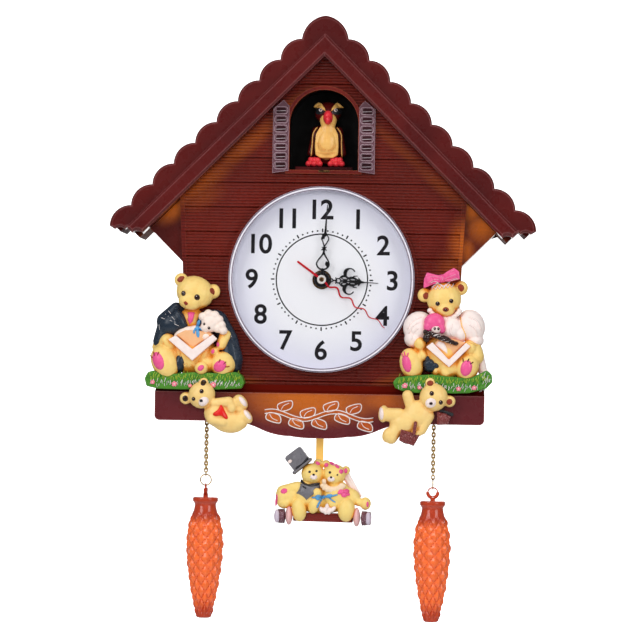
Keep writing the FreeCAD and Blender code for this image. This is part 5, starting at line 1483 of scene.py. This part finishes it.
LINK_GROWTH, STEM_GROWTH = 0.17, 0.8
JUMP_RING, LOOP = 9.5, 3.6                # how far they reach above and below the eyelet's top
FAR_BELOW = -300.0
for side in ("left", "right"):
    eyelet_top = node_box(side + "_eyelet")[1][2]
    links = swollen(side + "_chain", LINK_GROWTH, eyelet_top + JUMP_RING, 0.0)
    piece(side + "_chain_links", links, BRASS, side + "_hanging_chain", (side + "_chain",))
    stem = swollen(side + "_eyelet", STEM_GROWTH, FAR_BELOW, eyelet_top - LOOP)
    piece(side + "_eyelet_stem", stem, EYELET, side + "_weight", (side + "_eyelet",))
for side in ("left", "right"):
    cone(side + "_cone_scales", side + "_cone", side + "_weight")


# ---------------------------------------------------------------- apron ornament
def stem_height(x):
    """The height of the vine's wavy stem."""
    middle, rise, bend = -95.2, 2.8, 7.0
    return middle + rise * math.sin(x / bend)


def vine():
    """A leafy vine in relief, with a white outline."""
    board = Skin(node_shape("apron_board"))
    leaf, rim = Shape(), Shape()
    stem = [(x, stem_height(x)) for x in range(-38, 39, 2)]
    stroke(leaf, stem, 2.2, board, 0.9)
    for side in (-1, 1):
        stroke(rim, [(x, z + side * 1.3) for x, z in stem], 0.8, board, 1.0)
    for i, x in enumerate(range(-35, 32, 8)):
        z = stem_height(x)
        up = 1 if i % 2 else -1
        tip = (x + 7.6, z + up * 8.2)
        corners = [(x, z + up), (x - 1.6, z + up * 5.6), tip, (x + 7.4, z + up * 3.0)]
        outline = [p[:2] for p in smooth_path(corners, 0.8, closed=True)]
        patch(leaf, outline, board, 1.1)
        stroke(rim, outline + outline[:1], 0.85, board, 1.0, smooth=False)
        rib = [(x + 0.6, z + up * 2.0), (x + 2.4, z + up * 4.8), (tip[0] - 1.4, tip[1] - up * 1.6)]
        stroke(rim, rib, 0.5, Skin(leaf), 0.4)
    leafage = moulded("ornament_orange", (196, 96, 30), (170, 70, 26), rough=(0.25, 0.4), coat=0.3)
    piece("apron_vine", leaf, leafage, "clock", ("apron_ornament",))
    piece("apron_vine_outline", rim, TRIM, "clock")


vine()

# ---------------------------------------------------------------- camera, light and floor
AZIMUTH, ELEVATION, ROLL = 2.4, -0.9, 0.92       # degrees, the photograph's viewing angle
DISTANCE, MM_PER_PIXEL, SENSOR, PICTURE = 2000.0, 0.6988, 36.0, 640
TARGET = (-0.55, -50.0, -28.4)


def turn_towards(direction, roll=0.0):
    """A rotation that looks along direction."""
    return direction.to_track_quat("-Z", "Y") @ Matrix.Rotation(math.radians(roll), 4, "Z").to_quaternion()


def camera():
    """The photograph's view, slightly from the right and slightly from below."""
    azimuth, elevation = math.radians(AZIMUTH), math.radians(ELEVATION)
    back = Vector((math.sin(azimuth) * math.cos(elevation), -math.cos(azimuth) * math.cos(elevation),
                   math.sin(elevation)))
    lens = bpy.data.cameras.new("camera")
    lens.sensor_width = SENSOR
    lens.lens = DISTANCE / MM_PER_PIXEL * SENSOR / PICTURE
    lens.clip_start, lens.clip_end = 0.1, 50
    eye = bpy.data.objects.new("camera", lens)
    bpy.context.scene.collection.objects.link(eye)
    eye.location = place(*TARGET) + back * DISTANCE * MM
    eye.rotation_mode = "QUATERNION"
    eye.rotation_quaternion = turn_towards(-back, ROLL)
    bpy.context.scene.camera = eye


def softbox(name, position, width, height, power, mirrored=True):
    """A lamp that faces the dial; mirrored says whether reflections show it."""
    lamp = bpy.data.lights.new(name, "AREA")
    lamp.shape = "RECTANGLE"
    lamp.size, lamp.size_y = width, height
    lamp.energy = power
    box = bpy.data.objects.new(name, lamp)
    bpy.context.scene.collection.objects.link(box)
    box.location = Vector(position)
    box.rotation_mode = "QUATERNION"
    box.rotation_quaternion = turn_towards(DIAL - box.location)
    box.visible_glossy = mirrored


def studio():
    """Camera, lamps, a white backdrop and a floor."""
    camera()
    softbox("key_left", (-1.25, -1.5, 0.8), 0.9, 1.3, 14)
    softbox("fill_right", (1.35, -1.4, 0.4), 0.8, 1.2, 10)
    softbox("front", (-0.1, -2.6, 0.3), 1.0, 1.0, 21, mirrored=False)
    softbox("top", (0.0, -0.9, 1.4), 1.4, 0.6, 6)
    softbox("behind", (0.6, 1.6, 1.2), 1.2, 1.2, 10)
    bpy.context.scene.view_settings.view_transform = "Standard"
    world = bpy.data.worlds.new("studio")
    world.use_nodes = True
    world.node_tree.nodes["Background"].inputs["Color"].default_value = (0.96, 0.97, 1.0, 1.0)
    world.node_tree.nodes["Background"].inputs["Strength"].default_value = 0.16
    bpy.context.scene.world = world
    wall = Shape().prism([(-2200, -2000), (2200, -2000), (2200, 2000), (-2200, 2000)], 4500, 4510)
    corners = ((-5000, -5000), (5000, -5000), (5000, 5000), (-5000, 5000))
    floor = Shape().add([(x, y, -1300) for x, y in corners], [(0, 1, 2, 3)])
    white = Paint("studio_white", Roughness=0.9)
    white.colour(white.mix(white.noise(900, 2), (0.88, 0.88, 0.88, 1), (0.92, 0.92, 0.92, 1)))
    glow = Paint("studio_backdrop", Roughness=1.0, Emission_Strength=1.4)
    glow.shader.inputs["Emission Color"].default_value = (1, 1, 1, 1)
    for name, shape, paint in (("backdrop", wall, glow), ("floor", floor, white)):
        mesh = bpy.data.meshes.new(name)
        mesh.from_pydata([place(*p) for p in shape.points], [], shape.faces)
        obj = bpy.data.objects.new(name, mesh)
        bpy.context.scene.collection.objects.link(obj)
        mesh.materials.append(paint.material)


studio()
